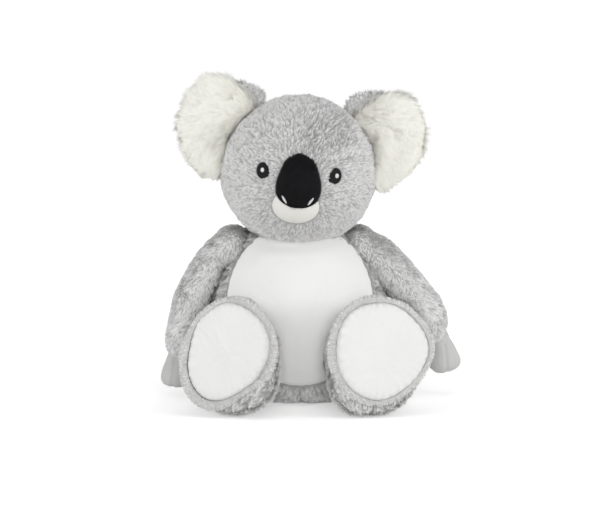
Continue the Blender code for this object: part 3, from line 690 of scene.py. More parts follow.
# rows of thread laid side by side across an outline
def satinFill(name, tree, place, centre, edge, look, material, body):
    bm = bmesh.new()
    lean = math.radians(look["lean"])
    outline = []
    for k in range(180):
        a, b = edge(2 * math.pi * k / 180)
        outline.append((a * math.cos(lean) + b * math.sin(lean), -a * math.sin(lean) + b * math.cos(lean)))
    highest = max(v for _, v in outline)
    row = -highest + look["spacing"] / 2
    while row < highest:
        crossings = []
        for (u0, v0), (u1, v1) in zip(outline, outline[1:] + outline[:1]):
            if (v0 - row) * (v1 - row) < 0:
                crossings.append(u0 + (u1 - u0) * (row - v0) / (v1 - v0))
        if len(crossings) >= 2:
            start, end = min(crossings), max(crossings)
            points, slopes = [], []
            steps = look["steps"]
            for k in range(steps + 1):
                t = k / steps
                u = start + (end - start) * t
                a = u * math.cos(lean) - row * math.sin(lean)
                b = u * math.sin(lean) + row * math.cos(lean)
                point, slope = onSkin(tree, place, centre[0] + a, centre[1] + b)
                crown = look["crown"] * math.sqrt(max(0.0, 1 - (row / highest) ** 2))
                lift = crown * (1 - (2 * t - 1) ** 6) + look["base"]
                points.append(point + slope * lift)
                slopes.append(slope)
            layThread(bm, points, slopes, look["radius"])
        row += look["spacing"]
    return newPiece(name, bm, material, body)


# torso, belly panel and seat

torsoLook = {
    "voxel": 0.003, "smooths": 8, "swell": -0.0012, "hills": 0.035, "hillDepth": 0.0008, "spanFrom": 0.100}


# the skin with its hollows above a height spanned, as cloth spans the arms' seats
def spannedTree(skin, above):
    bm = bmesh.new()
    bm.from_mesh(skin.data)
    hull = bmesh.ops.convex_hull(bm, input=bm.verts, use_existing_faces=False)["geom"]
    faces = [part for part in hull if isinstance(part, bmesh.types.BMFace)]
    span = {face for face in faces if face.calc_center_median().z > above}
    bmesh.ops.delete(bm, geom=[face for face in bm.faces if face not in span], context="FACES")
    cover = bpy.data.objects.new("span", newMesh("span", bm))
    tree = treeOf(skin, cover)
    bpy.data.objects.remove(cover)
    return tree


torso = stuffedSkin("torso", ["body", "belly_panel", "base_panel", "pellet_bag"], greyBacking, "torso_link",
                    torsoLook["voxel"], torsoLook["smooths"], torsoLook["swell"])
roll(torso, torsoLook["hills"], torsoLook["hillDepth"], 3)
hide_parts("body", "pellet_bag")
torsoTree = spannedTree(torso, torsoLook["spanFrom"])

panelSwell = {
    "quality": 5, "mass": 0.02, "stretch": 15.0, "bend": 0.05, "loose": 0.0, "pressure": 10.0, "frames": 20,
    "most": 0.004}
bellyLook = {
    "halfWidth": 0.0688, "halfHeight": 0.0748, "top": 0.0608, "segments": 160, "rings": 44, "depth": 0.0012,
    "step": 0.005, "seam": 0.0006, "seamWidth": 0.05, "tuck": 0.0010, "puff": 0.0016, "gathers": 0.0005,
    "gatherWidth": 0.04, "folds": 0.0006, "crease": 0.0012, "creaseUp": 0.052, "creaseWidth": 0.004,
    "over": 0.0005}


def bellyRise(share, turn, a, b):
    look = bellyLook
    seam = min(1.0, (1 - share) / look["seamWidth"])
    tuck = -look["tuck"] * (1 - seam) ** 2
    puff = look["puff"] * (1 - share ** 6)
    gathers = look["gathers"] * math.sin(turn * 46 + 2 * math.sin(turn * 5))
    gathers = gathers * math.exp(-(1 - share) / look["gatherWidth"]) * seam
    folds = look["folds"] * math.sin(a * 90 + 2.0) * math.sin(b * 60 + 0.6) * (1 - share ** 4)
    off = (b - look["creaseUp"] - 0.10 * abs(a + 0.01)) / look["creaseWidth"]
    crease = -look["crease"] * math.exp(-off ** 2) * (1 - share ** 8)
    return puff + tuck + gathers + folds + crease + look["over"]


# a pad's outer two rings and its underside, which are sewn down
def sewnPart(pad, look):
    return np.arange(len(pad.data.vertices)) > (look["rings"] - 2) * look["segments"]


bellyEdge = ovalEdge(bellyLook["halfWidth"], bellyLook["halfHeight"], top=bellyLook["top"])
belly = sewnPad("bellyPanel", torsoTree, bellyFrame, bellyEdge, dict(bellyLook, rise=bellyRise), bellyLitCloth,
                "torso_link")
puffUp(belly, sewnPart(belly, bellyLook), panelSwell)
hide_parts("belly_panel")

seatLook = {
    "halfWidth": 0.056, "halfDepth": 0.042, "back": 0.002, "segments": 96,
    # share of the oval, height
    "profile": ((0.0, 0.0), (0.5, 0.0), (0.86, 0.0), (0.95, 0.0001), (0.985, 0.0006), (1.0, 0.0015),
                (0.99, 0.0026), (0.96, 0.003), (0.0, 0.003)),
}


def makeSeat(look):
    bm = bmesh.new()
    loops = []
    for share, height in look["profile"]:
        loop = []
        for k in range(look["segments"] if share else 1):
            turn = 2 * math.pi * k / look["segments"]
            across = look["halfWidth"] * share * math.cos(turn)
            forward = look["back"] + look["halfDepth"] * share * math.sin(turn)
            loop.append(bm.verts.new((across, forward, height)))
        loops.append(loop)
    bridge(bm, loops)
    return newPiece("seatPanel", bm, linerCloth, "torso_link")


seat = makeSeat(seatLook)
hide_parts("base_panel")
print("torso made")


# head and face

headLook = {
    "voxel": 0.0028, "smooths": 6, "hills": 0.04, "hillDepth": 0.0006,
    "faceHalfWidth": 0.046, "faceLow": -0.052, "faceHigh": 0.024, "faceEdge": 0.006,
    "faceTurn": -0.3, "neckFrom": -0.72,
    "muzzle": (0, -0.070, -0.018), "muzzleReach": 0.056, "muzzleRise": 0.0035,
}


# fills the seats of the face, so that the head is one smooth form under its pile
def fitHead(co, look):
    here = local(co, neckFrame)
    reach = np.linalg.norm(here, axis=1)
    ways = here / reach[:, None]
    aside, up = np.abs(here[:, 0]), here[:, 2]
    face = (ways[:, 1] < look["faceTurn"]) & (aside < look["faceHalfWidth"])
    face = face & (up > look["faceLow"]) & (up < look["faceHigh"])
    neck = ways[:, 2] < look["neckFrom"]
    powers = [p for p in itertools.product(range(5), repeat=3) if sum(p) <= 4]
    terms = np.stack([ways[:, 0] ** p * ways[:, 1] ** q * ways[:, 2] ** r for p, q, r in powers], axis=1)
    plain = ~face & ~neck
    weights = np.linalg.lstsq(terms[plain], reach[plain], rcond=None)[0]
    fitted = terms @ weights
    muzzle = np.linalg.norm(here - np.array(look["muzzle"]), axis=1)
    fitted = fitted + look["muzzleRise"] * np.clip(1 - (muzzle / look["muzzleReach"]) ** 2, 0, None)
    inside = np.minimum(look["faceHalfWidth"] - aside, up - look["faceLow"])
    edge = np.clip(inside / look["faceEdge"], 0, 1)
    share = np.where(face, np.where(fitted > reach, 1.0, edge), 0.0)
    reach = reach + (fitted - reach) * share
    return placed(ways * reach[:, None], neckFrame)


head = stuffedSkin("headSkin", ["head"], greyBacking, "head_link", headLook["voxel"], headLook["smooths"])
reshape(head, lambda co, normals: fitHead(co, headLook))
roll(head, headLook["hills"], headLook["hillDepth"], 11)
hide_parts("head")
headTree = treeOf(head)

noseLook = {
    "place": (0.0005, 0, -0.0098), "halfWidth": 0.0200, "halfHeight": 0.0254, "taper": 0.15, "crown": 0.0088,
    "segments": 88, "rings": 26, "depth": 0.0022, "dents": 0.0003, "gathers": 0.0002, "sunk": 0.0004}
chinLook = {
    "place": (-0.0006, 0, -0.0305), "halfWidth": 0.0215, "halfHeight": 0.0157, "crown": 0.0056,
    "segments": 88, "rings": 26, "depth": 0.0012, "seam": 0.0007, "seamWidth": 0.0009, "sunk": 0.0003}
noseEdge = ovalEdge(noseLook["halfWidth"], noseLook["halfHeight"], noseLook["taper"])
nosePlace = neckFrame @ Matrix.Translation(noseLook["place"])
chinEdge = ovalEdge(chinLook["halfWidth"], chinLook["halfHeight"])
chinPlace = neckFrame @ Matrix.Translation(chinLook["place"])


def noseRise(share, turn, a, b):
    dome = noseLook["crown"] * math.sqrt(max(0.0, 1 - share ** 2.3))
    dents = noseLook["dents"] * math.sin(a * 420 + 1.0) * math.sin(b * 350) * (1 - share ** 4)
    gathers = noseLook["gathers"] * math.sin(turn * 22) * math.exp(-(1 - share) / 0.08)
    return dome + dents + gathers - noseLook["sunk"]


def chinRise(share, turn, a, b):
    dome = chinLook["crown"] * math.sqrt(max(0.0, 1 - share ** 2.4))
    seam = chinLook["seam"] * math.exp(-((a + 0.0004) / chinLook["seamWidth"]) ** 2) * (1 - share ** 10)
    return dome - seam * min(1.0, max(0.0, -b / 0.012)) - chinLook["sunk"]


nose = sewnPad("nosePad", headTree, nosePlace, noseEdge, dict(noseLook, rise=noseRise), noseCloth,
               "head_link")
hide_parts("nose")
chin = sewnPad("chinPad", headTree, chinPlace, chinEdge, dict(chinLook, rise=chinRise), chinCloth,
               "head_link")
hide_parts("chin")
noseTree = treeOf(nose)

eyeLook = {
    "aside": 0.0328, "up": -0.0006, "halfWidth": 0.0055, "halfHeight": 0.0073, "point": 0.22,
    "pointTurn": {"right": -28.0, "left": 208.0},
    "lean": 12.0, "spacing": 0.00042, "radius": 0.00028, "crown": 0.0013, "base": 0.0006, "steps": 9}
glintLook = {
    "aside": 0.0006, "up": 0.0003, "halfWidth": 0.0015, "halfHeight": 0.0019,
    "lean": 0.0, "spacing": 0.00036, "radius": 0.00024, "crown": 0.0003, "base": 0.0021, "steps": 5}
slashLook = {
    "middle": 0.0005, "aside": 0.0118, "up": -0.0246, "halfWidth": 0.0009, "halfHeight": 0.0042,
    "slant": 34.0, "spacing": 0.00038, "radius": 0.00026, "crown": 0.0004, "base": 0.0003, "steps": 6}


def stitchEye(side, sign):
    edge = teardropEdge(eyeLook["halfWidth"], eyeLook["halfHeight"], eyeLook["point"],
                        math.radians(eyeLook["pointTurn"][side]))
    centre = (sign * eyeLook["aside"], eyeLook["up"])
    eye = satinFill(f"eyeStitch_{side}", headTree, neckFrame, centre, edge,
                    dict(eyeLook, lean=eyeLook["lean"] * -sign), blackThread, "head_link")
    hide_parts(f"eye_{side}")
    shine = (centre[0] + glintLook["aside"], centre[1] + glintLook["up"])
    glintEdge = ovalEdge(glintLook["halfWidth"], glintLook["halfHeight"])
    glint = satinFill(f"eyeGlint_{side}", headTree, neckFrame, shine, glintEdge, glintLook, whiteThread,
                      "head_link")
    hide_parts(f"eye_glint_{side}")


def stitchNostril(side, sign):
    spot = (slashLook["middle"] + sign * slashLook["aside"], slashLook["up"])
    slant = -sign * slashLook["slant"]
    slash = satinFill(f"nostrilStitch_{side}", noseTree, neckFrame, spot,
                      lambda turn: leaned(turn, slashLook["halfWidth"], slashLook["halfHeight"], slant),
                      dict(slashLook, lean=90 + slant), whiteThread, "head_link")
    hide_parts(f"nostril_{side}")


for side, sign in sideSigns.items():
    stitchEye(side, sign)
    stitchNostril(side, sign)
print("face made")


# arms and hands

arms = {}
sleeveLook = {
    "voxel": 0.0026, "smooths": 6, "swell": -0.0026, "hills": 0.022, "hillDepth": 0.0009,
    # height above the floor, move outward on the right and on the left
    "moves": ((0.030, 0.0060, 0.0100), (0.055, 0.0030, 0.0085), (0.075, -0.0010, 0.0040),
              (0.105, 0.0, -0.0040), (0.135, 0.0, -0.0045), (0.170, 0.0, -0.0020)),
    "from": 0.098, "over": 0.045, "longer": {"right": 0.018, "left": 0.024},
}
handLook = {
    "voxel": 0.0016, "smooths": 5, "swell": 0.0003, "cuff": 0.012,
    "longer": {"right": 0.0035, "left": 0.0045},
    "at": (0.0, 0.20, 0.34, 0.50, 0.65, 0.80, 0.92, 1.0),
    "shares": (0.80, 0.76, 0.76, 0.84, 0.95, 1.06, 1.13, 1.06),
    "creaseAside": 0.003, "creaseSlope": 0.10, "creaseWidth": 0.0011, "creaseDepth": 0.0011,
    "creaseFade": 0.012, "hills": 0.011, "hillDepth": 0.0004,
}
handSwell = dict(panelSwell, loose=0.02, pressure=4.0, most=0.002)


# a longer cuff, and the sleeve set where it hangs in the photo
def shapeSleeve(co, side, look):
    heights = [row[0] for row in look["moves"]]
    column = 1 if side == "right" else 2
    co[:, 0] += sideSigns[side] * np.interp(co[:, 2], heights, [row[column] for row in look["moves"]])
    low = np.clip((look["from"] - co[:, 2]) / look["over"], 0, 1)
    co[:, 2] -= look["longer"][side] * low * low * (3 - 2 * low)
    return co


# narrow where the cuff holds it, full and round below
def shapeHand(co, side, look):
    top, low = co[:, 2].max(), co[:, 2].min()
    down = (top - co[:, 2]) / (top - low)
    share = np.interp(down, look["at"], look["shares"])
    for axis in (0, 1):
        middles = np.polyval(np.polyfit(down, co[:, axis], 1), down)
        co[:, axis] = middles + (co[:, axis] - middles) * share
    co[:, 2] -= look["longer"][side] * down
    return co


# soft hills all over, and one crease down the hand
def creaseHand(co, normals, sign, look):
    middle = co.mean(0)
    lean = (middle[2] - co[:, 2]) * sign * look["creaseSlope"]
    aside = co[:, 0] - middle[0] - sign * look["creaseAside"] - lean
    crease = np.exp(-(aside / look["creaseWidth"]) ** 2)
    crease = crease * np.clip((look["creaseFade"] - (co[:, 2] - middle[2])) / look["creaseFade"], 0, 1)
    soft = softNoise(co, look["hills"], 5) * look["hillDepth"]
    return co + normals * (soft - look["creaseDepth"] * crease)[:, None]


for side, sign in sideSigns.items():
    link = f"arm_{side}_link"
    arm = stuffedSkin(f"sleeve_{side}", [f"arm_{side}"], greyBacking, link, sleeveLook["voxel"],
                      sleeveLook["smooths"], sleeveLook["swell"])
    reshape(arm, lambda co, normals: shapeSleeve(co, side, sleeveLook))
    roll(arm, sleeveLook["hills"], sleeveLook["hillDepth"], 21 + int(sign))
    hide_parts(f"arm_{side}")
    arms[side] = arm
    hand = stuffedSkin(f"mitten_{side}", [f"hand_{side}"], handCloth, link, handLook["voxel"],
                       handLook["smooths"], handLook["swell"])
    reshape(hand, lambda co, normals: shapeHand(co, side, handLook))
    height = meshArrays(hand)[0][:, 2]
    puffUp(hand, height > height.max() - handLook["cuff"], handSwell)
    reshape(hand, lambda co, normals: creaseHand(co, normals, sign, handLook))
    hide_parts(f"hand_{side}")
print("arms made")


# legs, soles and the puckered rims round them

# how far the sole, the rim and the whole foot reach at each 20 degrees, as shares of one oval
soleOval = (0.0384, 0.0441)
footShares = {
    "right": {
        "sole": (0.99, 1.03, 1.005, 0.97, 0.974, 0.984, 0.946, 0.967, 0.947,
                 0.969, 1.058, 1.117, 1.106, 1.007, 0.893, 0.845, 0.876, 0.92),
        "rim": (1.199, 1.207, 1.158, 1.17, 1.144, 1.08, 1.035, 1.045, 1.09,
                1.194, 1.277, 1.353, 1.335, 1.22, 1.047, 0.994, 1.052, 1.14),
        "foot": (1.217, 1.207, 1.158, 1.17, 1.144, 1.08, 1.035, 1.045, 1.09,
                 1.194, 1.277, 1.34, 1.34, 1.30, 1.32, 1.40, 1.43, 1.30)},
    "left": {
        "sole": (1.12, 1.08, 1.004, 0.979, 0.977, 0.985, 1.042, 1.09, 1.093,
                 1.081, 1.086, 1.063, 1.025, 1.0, 0.958, 0.931, 0.97, 1.039),
        "rim": (1.256, 1.21, 1.135, 1.11, 1.092, 1.142, 1.197, 1.244, 1.28,
                1.30, 1.27, 1.227, 1.176, 1.12, 1.074, 1.054, 1.068, 1.142),
        "foot": (1.256, 1.21, 1.135, 1.11, 1.092, 1.142, 1.197, 1.244, 1.293,
                 1.321, 1.365, 1.54, 1.52, 1.369, 1.323, 1.253, 1.161, 1.18)},
}
rimLook = {
    "gathers": 0.26, "segments": 560, "around": 12, "turns": 52, "pile": 0.0009, "least": 0.0022,
    "flat": 0.85, "wander": 0.10, "wanderSize": 0.16}
legs, rims = {}, {}


def makeRim(side, look):
    place = soleFrameOf(side)
    back = place.inverted()
    plane = sum((back @ v.co).y for v in nodes[f"foot_rim_{side}"].data.vertices)
    plane /= len(nodes[f"foot_rim_{side}"].data.vertices)
    bm = bmesh.new()
    rings = []
    count = look["segments"]
    turns = [2 * math.pi * k / count for k in range(count)]
    spots = np.array([[math.cos(t), math.sin(t), sideSigns[side]] for t in turns])
    wander = softNoise(spots, look["wanderSize"], 31)
    innerEdge, outerEdge = (tableEdge(*soleOval, footShares[side][part]) for part in ("sole", "rim"))
    for k, t in enumerate(turns):
        inner, outer = Vector(innerEdge(t)), Vector(outerEdge(t))
        a, b = (inner + outer) / 2 - (outer - inner).normalized() * look["pile"] / 2
        outward = Vector((math.cos(t) / soleOval[0], 0, math.sin(t) / soleOval[1])).normalized()
        pinch = abs(math.sin(t * look["turns"] + wander[k] * 3.0)) ** 0.6
        radius = max(look["least"], ((outer - inner).length - look["pile"]) / 2)
        radius *= 1 - look["gathers"] * (1 - pinch) + look["wander"] * wander[k]
        ring = []
        for j in range(look["around"]):
            s = 2 * math.pi * j / look["around"]
            spot = Vector((a, plane, b)) + outward * math.cos(s) * radius
            spot.y -= math.sin(s) * radius * look["flat"]
            ring.append(bm.verts.new(place @ spot))
        rings.append(ring)
    bridge(bm, rings + rings[:1], flipped=True)
    return newPiece(f"footRim_{side}", bm, paleBacking, f"leg_{side}_link")


# a place's reach on the sole's plane, 1 at the edge of the sole, the rim or the foot
def onOval(here, side, part):
    a, b = here[:, 0] / soleOval[0], here[:, 2] / soleOval[1]
    shares = footShares[side][part]
    turns = np.arctan2(b, a) / (2 * math.pi) % 1 * len(shares)
    return np.hypot(a, b) / np.interp(turns, np.arange(len(shares) + 1), shares + shares[:1])


soleLook = {"segments": 150, "rings": 34, "crown": 0.0012, "tuck": 0.0028, "gathers": 0.0009, "count": 34,
            "folds": 0.0008, "over": 0.0002, "depth": 0.0045, "back": 0.0016,
            "seamWidth": 0.07, "tuckWidth": 0.035, "foldSizes": (0.018, 0.007),
            "swell": dict(panelSwell, loose=0.003, pressure=3.0, most=0.003)}


# the sole is a pad of its own, drawn tight along its seam; the leg's skin gives way behind it
def makeSole(side, leg, look):
    place = soleFrameOf(side)
    co, _, _ = meshArrays(leg)
    here = local(co, place)
    inside = onOval(here, side, "sole")
    front = here[(inside < 0.85) & (here[:, 1] < 0.02), 1].min()
    under = (inside < 1.06) & (here[:, 1] < front + 0.008)
    here[under, 1] = np.maximum(here[under, 1], front + look["depth"] + look["back"])
    movePoints(leg, placed(here, place))
    edge = tableEdge(*soleOval, footShares[side]["sole"])
    bm = bmesh.new()
    loops = []
    for ring in range(look["rings"] + 2):
        share = min(1.0, 1 - (1 - ring / look["rings"]) * abs(1 - ring / look["rings"]) ** 0.3)
        loop = []
        for k in range(look["segments"] if ring else 1):
            turn = 2 * math.pi * k / look["segments"]
            a, b = (reach * share * (1 + look["over"] / soleOval[0]) for reach in edge(turn))
            seam = math.exp(-(1 - share) / look["seamWidth"])
            tuck = look["tuck"] * math.exp(-(1 - share) / look["tuckWidth"])
            rise = look["crown"] * (1 - share ** 6) - tuck
            gathers = math.sin(turn * look["count"] + 3 * math.sin(turn * 3))
            rise += look["gathers"] * gathers * seam * (1 - seam) * 4
            rise += look["folds"] * softFold(a, b, side) * (1 - share ** 4)
            depth = look["depth"] + look["back"] * 0.5 if ring > look["rings"] else look["back"] - rise
            loop.append(bm.verts.new(place @ Vector((a, front + depth, b))))
        loops.append(loop)
    bridge(bm, loops)
    bm.faces.new(loops[-1])
    sole = newPiece(f"solePad_{side}", bm, soleShadedCloth, f"leg_{side}_link")
    puffUp(sole, sewnPart(sole, look), look["swell"])
    return sole


def softFold(a, b, side):
    spot = np.array([[a, 0.02 * sideSigns[side], b]])
    wide, fine = soleLook["foldSizes"]
    return float(softNoise(spot, wide, 61)[0] + 0.5 * softNoise(spot, fine, 62)[0])


legLook = {
    "voxel": 0.0028, "smooths": 6, "hills": 0.03, "hillDepth": 0.0009, "pile": 0.0042, "from": 0.008,
    "over": 0.040}


# brings the front of the leg to the foot's own outline, with its heel lump on the inner side
def shapeFoot(co, side, look):
    place = soleFrameOf(side)
    here = local(co, place)
    turns = np.arctan2(here[:, 2] / soleOval[1], here[:, 0] / soleOval[0])
    reach = np.hypot(here[:, 0], here[:, 2])
    front = (here[:, 1] > 0.002) & (here[:, 1] < 0.012)
    bins = ((turns / math.pi + 1) * 18).astype(int) % 36
    found = np.array([reach[front & (bins == k)].max(initial=0.03) for k in range(36)])
    found = (found + np.roll(found, 1) + np.roll(found, -1)) / 3
    edge = tableEdge(*soleOval, footShares[side]["foot"])
    asked = np.array([math.hypot(*edge((k + 0.5) / 18 * math.pi - math.pi)) for k in range(36)])
    asked = asked - look["pile"]
    spots = (turns / math.pi + 1) * 18 - 0.5
    share = np.interp(spots, np.arange(-1, 37), np.concatenate([asked[-1:], asked, asked[:1]])
                      / np.concatenate([found[-1:], found, found[:1]]))
    near = np.clip(1 - (here[:, 1] - look["from"]) / look["over"], 0, 1)
    near = near * near * (3 - 2 * near)
    here[:, 0] *= 1 + (share - 1) * near
    here[:, 2] *= 1 + (share - 1) * near
    out = placed(here, place)
    out[:, 2] = np.maximum(out[:, 2], 0.0008)
    return out


for side in sideSigns:
    leg = stuffedSkin(f"legSkin_{side}", [f"leg_{side}", f"sole_{side}"], greyBacking, f"leg_{side}_link",
                      legLook["voxel"], legLook["smooths"])
    reshape(leg, lambda co, normals: shapeFoot(co, side, legLook))
    roll(leg, legLook["hills"], legLook["hillDepth"], 41)
    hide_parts(f"leg_{side}")
    legs[side] = leg
    rim = makeRim(side, rimLook)
    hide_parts(f"foot_rim_{side}")
    rims[side] = rim
    sole = makeSole(side, leg, soleLook)
    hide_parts(f"sole_{side}")
print("legs made")


# ears

earBacks, earLinings = {}, {}
earBackLook = {
    "voxel": 0.0018, "smooths": 4, "swell": 0.0003, "share": 0.915, "web": {"right": 0.013, "left": 0.010},
    "drop": {"right": 0.0, "left": 0.0}}
earLiningLook = {
    "voxel": 0.0020, "smooths": 5, "swell": 0.0, "share": 0.91, "web": {"right": 0.0, "left": 0.0},
    "drop": {"right": 0.002, "left": 0.008}, "hills": 0.02, "hillDepth": 0.0012}
earShape = {"rootAcross": 0.036, "lobe": 0.045, "tuck": {"right": 0.0, "left": 0.010}}


# draws an ear piece in towards its seam, to leave room for the pile round its edge
def insetEar(co, side, look):
    place = earFrameOf(side)
    sign = sideSigns[side]
    here = local(co, place)
    root = -sign * earShape["rootAcross"]
    here[:, 0] = root + (here[:, 0] - root) * look["share"]
    here[:, 2] *= look["share"]
    inward = -here[:, 0] * sign
    low = np.clip(-here[:, 2] / earShape["lobe"], 0, 1)
    here[:, 0] -= earShape["tuck"][side] * low ** 1.5 * np.clip((here[:, 0] + 0.03) / 0.05, 0, 1)
    # the web of the back that joins the ear to the top of the head
    web = sign * look["web"][side] * np.clip((here[:, 2] - 0.010) / 0.022, 0, 1)
    here[:, 0] -= web * np.clip((inward + 0.006) / 0.030, 0, 1)
    drop = look["drop"][side] * np.clip(here[:, 2] / 0.030, 0, 1)
    here[:, 2] -= drop * np.clip((inward + 0.016) / 0.030, 0, 1)
    return placed(here, place)


# stitched dents and the pinched fold at the seam, as across, up, half width, half height, lean and depth
earDents = {
    "right": ((0.0125, 0.0265, 0.0032, 0.0022, 10, 0.0050), (-0.0160, 0.0190, 0.0028, 0.0020, 0, 0.0040),
              (0.0060, -0.0130, 0.0150, 0.0022, 62, 0.0030)),
    "left": ((-0.0190, 0.0160, 0.0150, 0.0020, -16, 0.0055), (-0.0150, -0.0010, 0.0025, 0.0140, 8, 0.0030),
             (0.0030, 0.0060, 0.0035, 0.0025, 0, 0.0035)),
}


def dentEar(co, normals, side):
    here = local(co, earFrameOf(side))
    facing = np.clip(-(normals @ np.array(earFrameOf(side))[:3, 1]) * 1.6, 0, 1)
    for across, up, wide, high, lean, depth in earDents[side]:
        way = math.radians(lean)
        a, b = here[:, 0] - across, here[:, 2] - up
        along, over = a * math.cos(way) + b * math.sin(way), b * math.cos(way) - a * math.sin(way)
        co = co - normals * (facing * depth * np.exp(-(along / wide) ** 2 - (over / high) ** 2))[:, None]
    return co


def makeEarPiece(name, side, node, look, material):
    piece = stuffedSkin(name, [node], material, f"ear_{side}_link", look["voxel"], look["smooths"],
                        look["swell"])
    reshape(piece, lambda co, normals: insetEar(co, side, look))
    return piece


for side in sideSigns:
    back = makeEarPiece(f"earBack_{side}", side, f"ear_back_{side}", earBackLook, paleBacking)
    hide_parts(f"ear_back_{side}")
    earBacks[side] = back
    lining = makeEarPiece(f"earLining_{side}", side, f"ear_lining_{side}", earLiningLook, whiteBacking)
    roll(lining, earLiningLook["hills"], earLiningLook["hillDepth"], 51)
    reshape(lining, lambda co, normals: dentEar(co, normals, side))
    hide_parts(f"ear_lining_{side}")
    earLinings[side] = lining
print("ears made")


# pile on every plush piece

plainCoat = {
    "perSquareMm": 1.4, "length": 0.0060, "width": 0.00074, "taper": (1.0, 0.75), "stations": 2, "lean": 42.0,
    "leanSwing": 14.0, "droop": 24.0, "wave": 0.0, "uneven": 0.2, "swirlSize": 0.022, "swirl": 30.0,
    "stirSize": 0.005, "stir": 55.0, "stray": 16.0, "perClump": 10.0, "pull": 0.62, "roll": 22.0,
    "normalKeep": 0.7, "crowdRoom": 0.002, "rubbedAndShaded": 0.0, "rubbedAndShadedReach": 0.008, "splay": 16.0,
    "openRoom": 0.05, "nearRoom": 0.03, "sunk": 0.0015,
}


def direction(x, y, z):
    return lambda roots, normals: np.tile(np.array([x, y, z], float), (len(roots), 1))


# a root's distance from the middle of an oval on the front, 1 at its edge
def outside(points, place, halfWidth, halfHeight, taper=0.0):
    here = local(points, place)
    a, b = here[:, 0], here[:, 2]
    share = np.hypot(a / (halfWidth * (1 - taper * b / halfHeight)), b / halfHeight)
    return np.where(here[:, 1] < 0, share, 9.0)


# the pile of the body stops at the belly panel and is shorter beside it
torsoPileLook = {
    "panelTop": 0.0602, "panelLow": -0.0745, "floor": 0.0012, "shortest": 0.55, "reach": 0.012, "far": 0.05,
    "spread": 0.55, "frontDepth": 0.05}


# half the belly panel's width at each root, and the root's height over its middle
def panelAt(roots):
    up = roots[:, 2] - pattern["belly"][2]
    return bellyLook["halfWidth"] * np.sqrt(np.clip(1 - (up / bellyLook["halfHeight"]) ** 2, 0, 1)), up


def torsoKeep(roots):
    width, up = panelAt(roots)
    beside = (roots[:, 1] < 0) & (np.abs(roots[:, 0]) < width - bellyLook["seam"])
    panel = beside & (up < torsoPileLook["panelTop"]) & (up > torsoPileLook["panelLow"])
    return np.where(panel | (roots[:, 2] < torsoPileLook["floor"]), 0.0, 1.0)


def torsoLengths(roots, normals):
    width, _ = panelAt(roots)
    beside = np.where(roots[:, 1] < 0, np.abs(roots[:, 0]) - width, torsoPileLook["far"])
    shortest = torsoPileLook["shortest"]
    return np.clip(shortest + beside / torsoPileLook["reach"], shortest, 1.0)


def torsoComb(roots, normals):
    way = np.tile([0.0, 0.0, -1.0], (len(roots), 1))
    front = np.clip(-roots[:, 1] / torsoPileLook["frontDepth"], 0, 1)
    way[:, 0] = np.sign(roots[:, 0]) * torsoPileLook["spread"] * front
    return way


torsoNeighbours = treeOf(arms["left"], arms["right"], legs["left"], legs["right"], head)
for name, faceSign in (("torsoPileFront", -1.0), ("torsoPileBack", 1.0)):
    growPile(name, torso, dict(plainCoat, seed=100 + int(faceSign)), torsoComb, greyPile, "torso_link",
             lambda roots, normals: torsoKeep(roots) * (roots[:, 1] * faceSign > 0),
             torsoLengths, torsoNeighbours)


headCoat = dict(plainCoat, width=0.00072, length=0.0051, perClump=8.0, crowdRoom=0.001)
headPileLook = {
    "noseHalfWidth": 0.0205, "noseTaper": 0.16, "noseReach": 0.022, "chinReach": 0.018, "eyeReach": 0.006,
    "low": -0.071, "shortest": 0.42, "reach": 0.022, "frontShort": 0.22, "frontDepth": 0.05,
    "combedFrom": (0.0, -0.066, -0.012), "swept": 0.35,
    # across, up, half width, half height, strength
    "tousled": ((0.026, 0.040, 0.020, 0.020, 1.5), (0.004, 0.024, 0.022, 0.010, 0.8)), "mostTousled": 1.1,
}


# how far each root is from the nose, the chin and the eyes
def faceClear(roots):
    look = headPileLook
    ovals = [(nosePlace, look["noseHalfWidth"], noseLook["halfHeight"], look["noseTaper"], look["noseReach"]),
             (chinPlace, chinLook["halfWidth"], chinLook["halfHeight"], 0.0, look["chinReach"])]
    for sign in sideSigns.values():
        place = neckFrame @ Matrix.Translation((sign * eyeLook["aside"], 0, eyeLook["up"]))
        ovals.append((place, eyeLook["halfWidth"], eyeLook["halfHeight"], 0.0, look["eyeReach"]))
    return np.minimum.reduce([(outside(roots, *oval) - 1) * reach for *oval, reach in ovals])


def headKeep(roots):
    here = local(roots, neckFrame)
    return np.where((faceClear(roots) < 0.0) | (here[:, 2] < headPileLook["low"]), 0.0, 1.0)


def headLengths(roots, normals):
    here = local(roots, neckFrame)
    look = headPileLook
    front = np.clip(-here[:, 1] / look["frontDepth"], 0, 1)
    longest = 1.0 - look["frontShort"] * front
    return np.clip(look["shortest"] + faceClear(roots) / look["reach"], look["shortest"], longest)


def headComb(roots, normals):
    here = local(roots, neckFrame)
    way = unit(here - np.array(headPileLook["combedFrom"]))
    behind = np.clip((here[:, 1] + 0.01) / 0.05, 0, 1)[:, None]
    way = way * (1 - behind) + np.array([0.0, 0.1, -1.0]) * behind
    way[:, 0] += headPileLook["swept"] * np.clip(here[:, 2] / 0.05, 0, 1)
    return way @ np.array(neckFrame)[:3, :3].T


# the forehead's pile stands up in a patch towards the left ear, and over the nose, and is painted darker
# there as shade between its parted clumps
def headTousle(roots, normals):
    here = local(roots, neckFrame)
    rough = 0.0
    for across, up, wide, high, strength in headPileLook["tousled"]:
        patch = np.exp(-((here[:, 0] - across) / wide) ** 2 - ((here[:, 2] - up) / high) ** 2)
        rough = rough + strength * patch
    return np.where(here[:, 1] < 0, np.clip(rough, 0, headPileLook["mostTousled"]), 0.0)


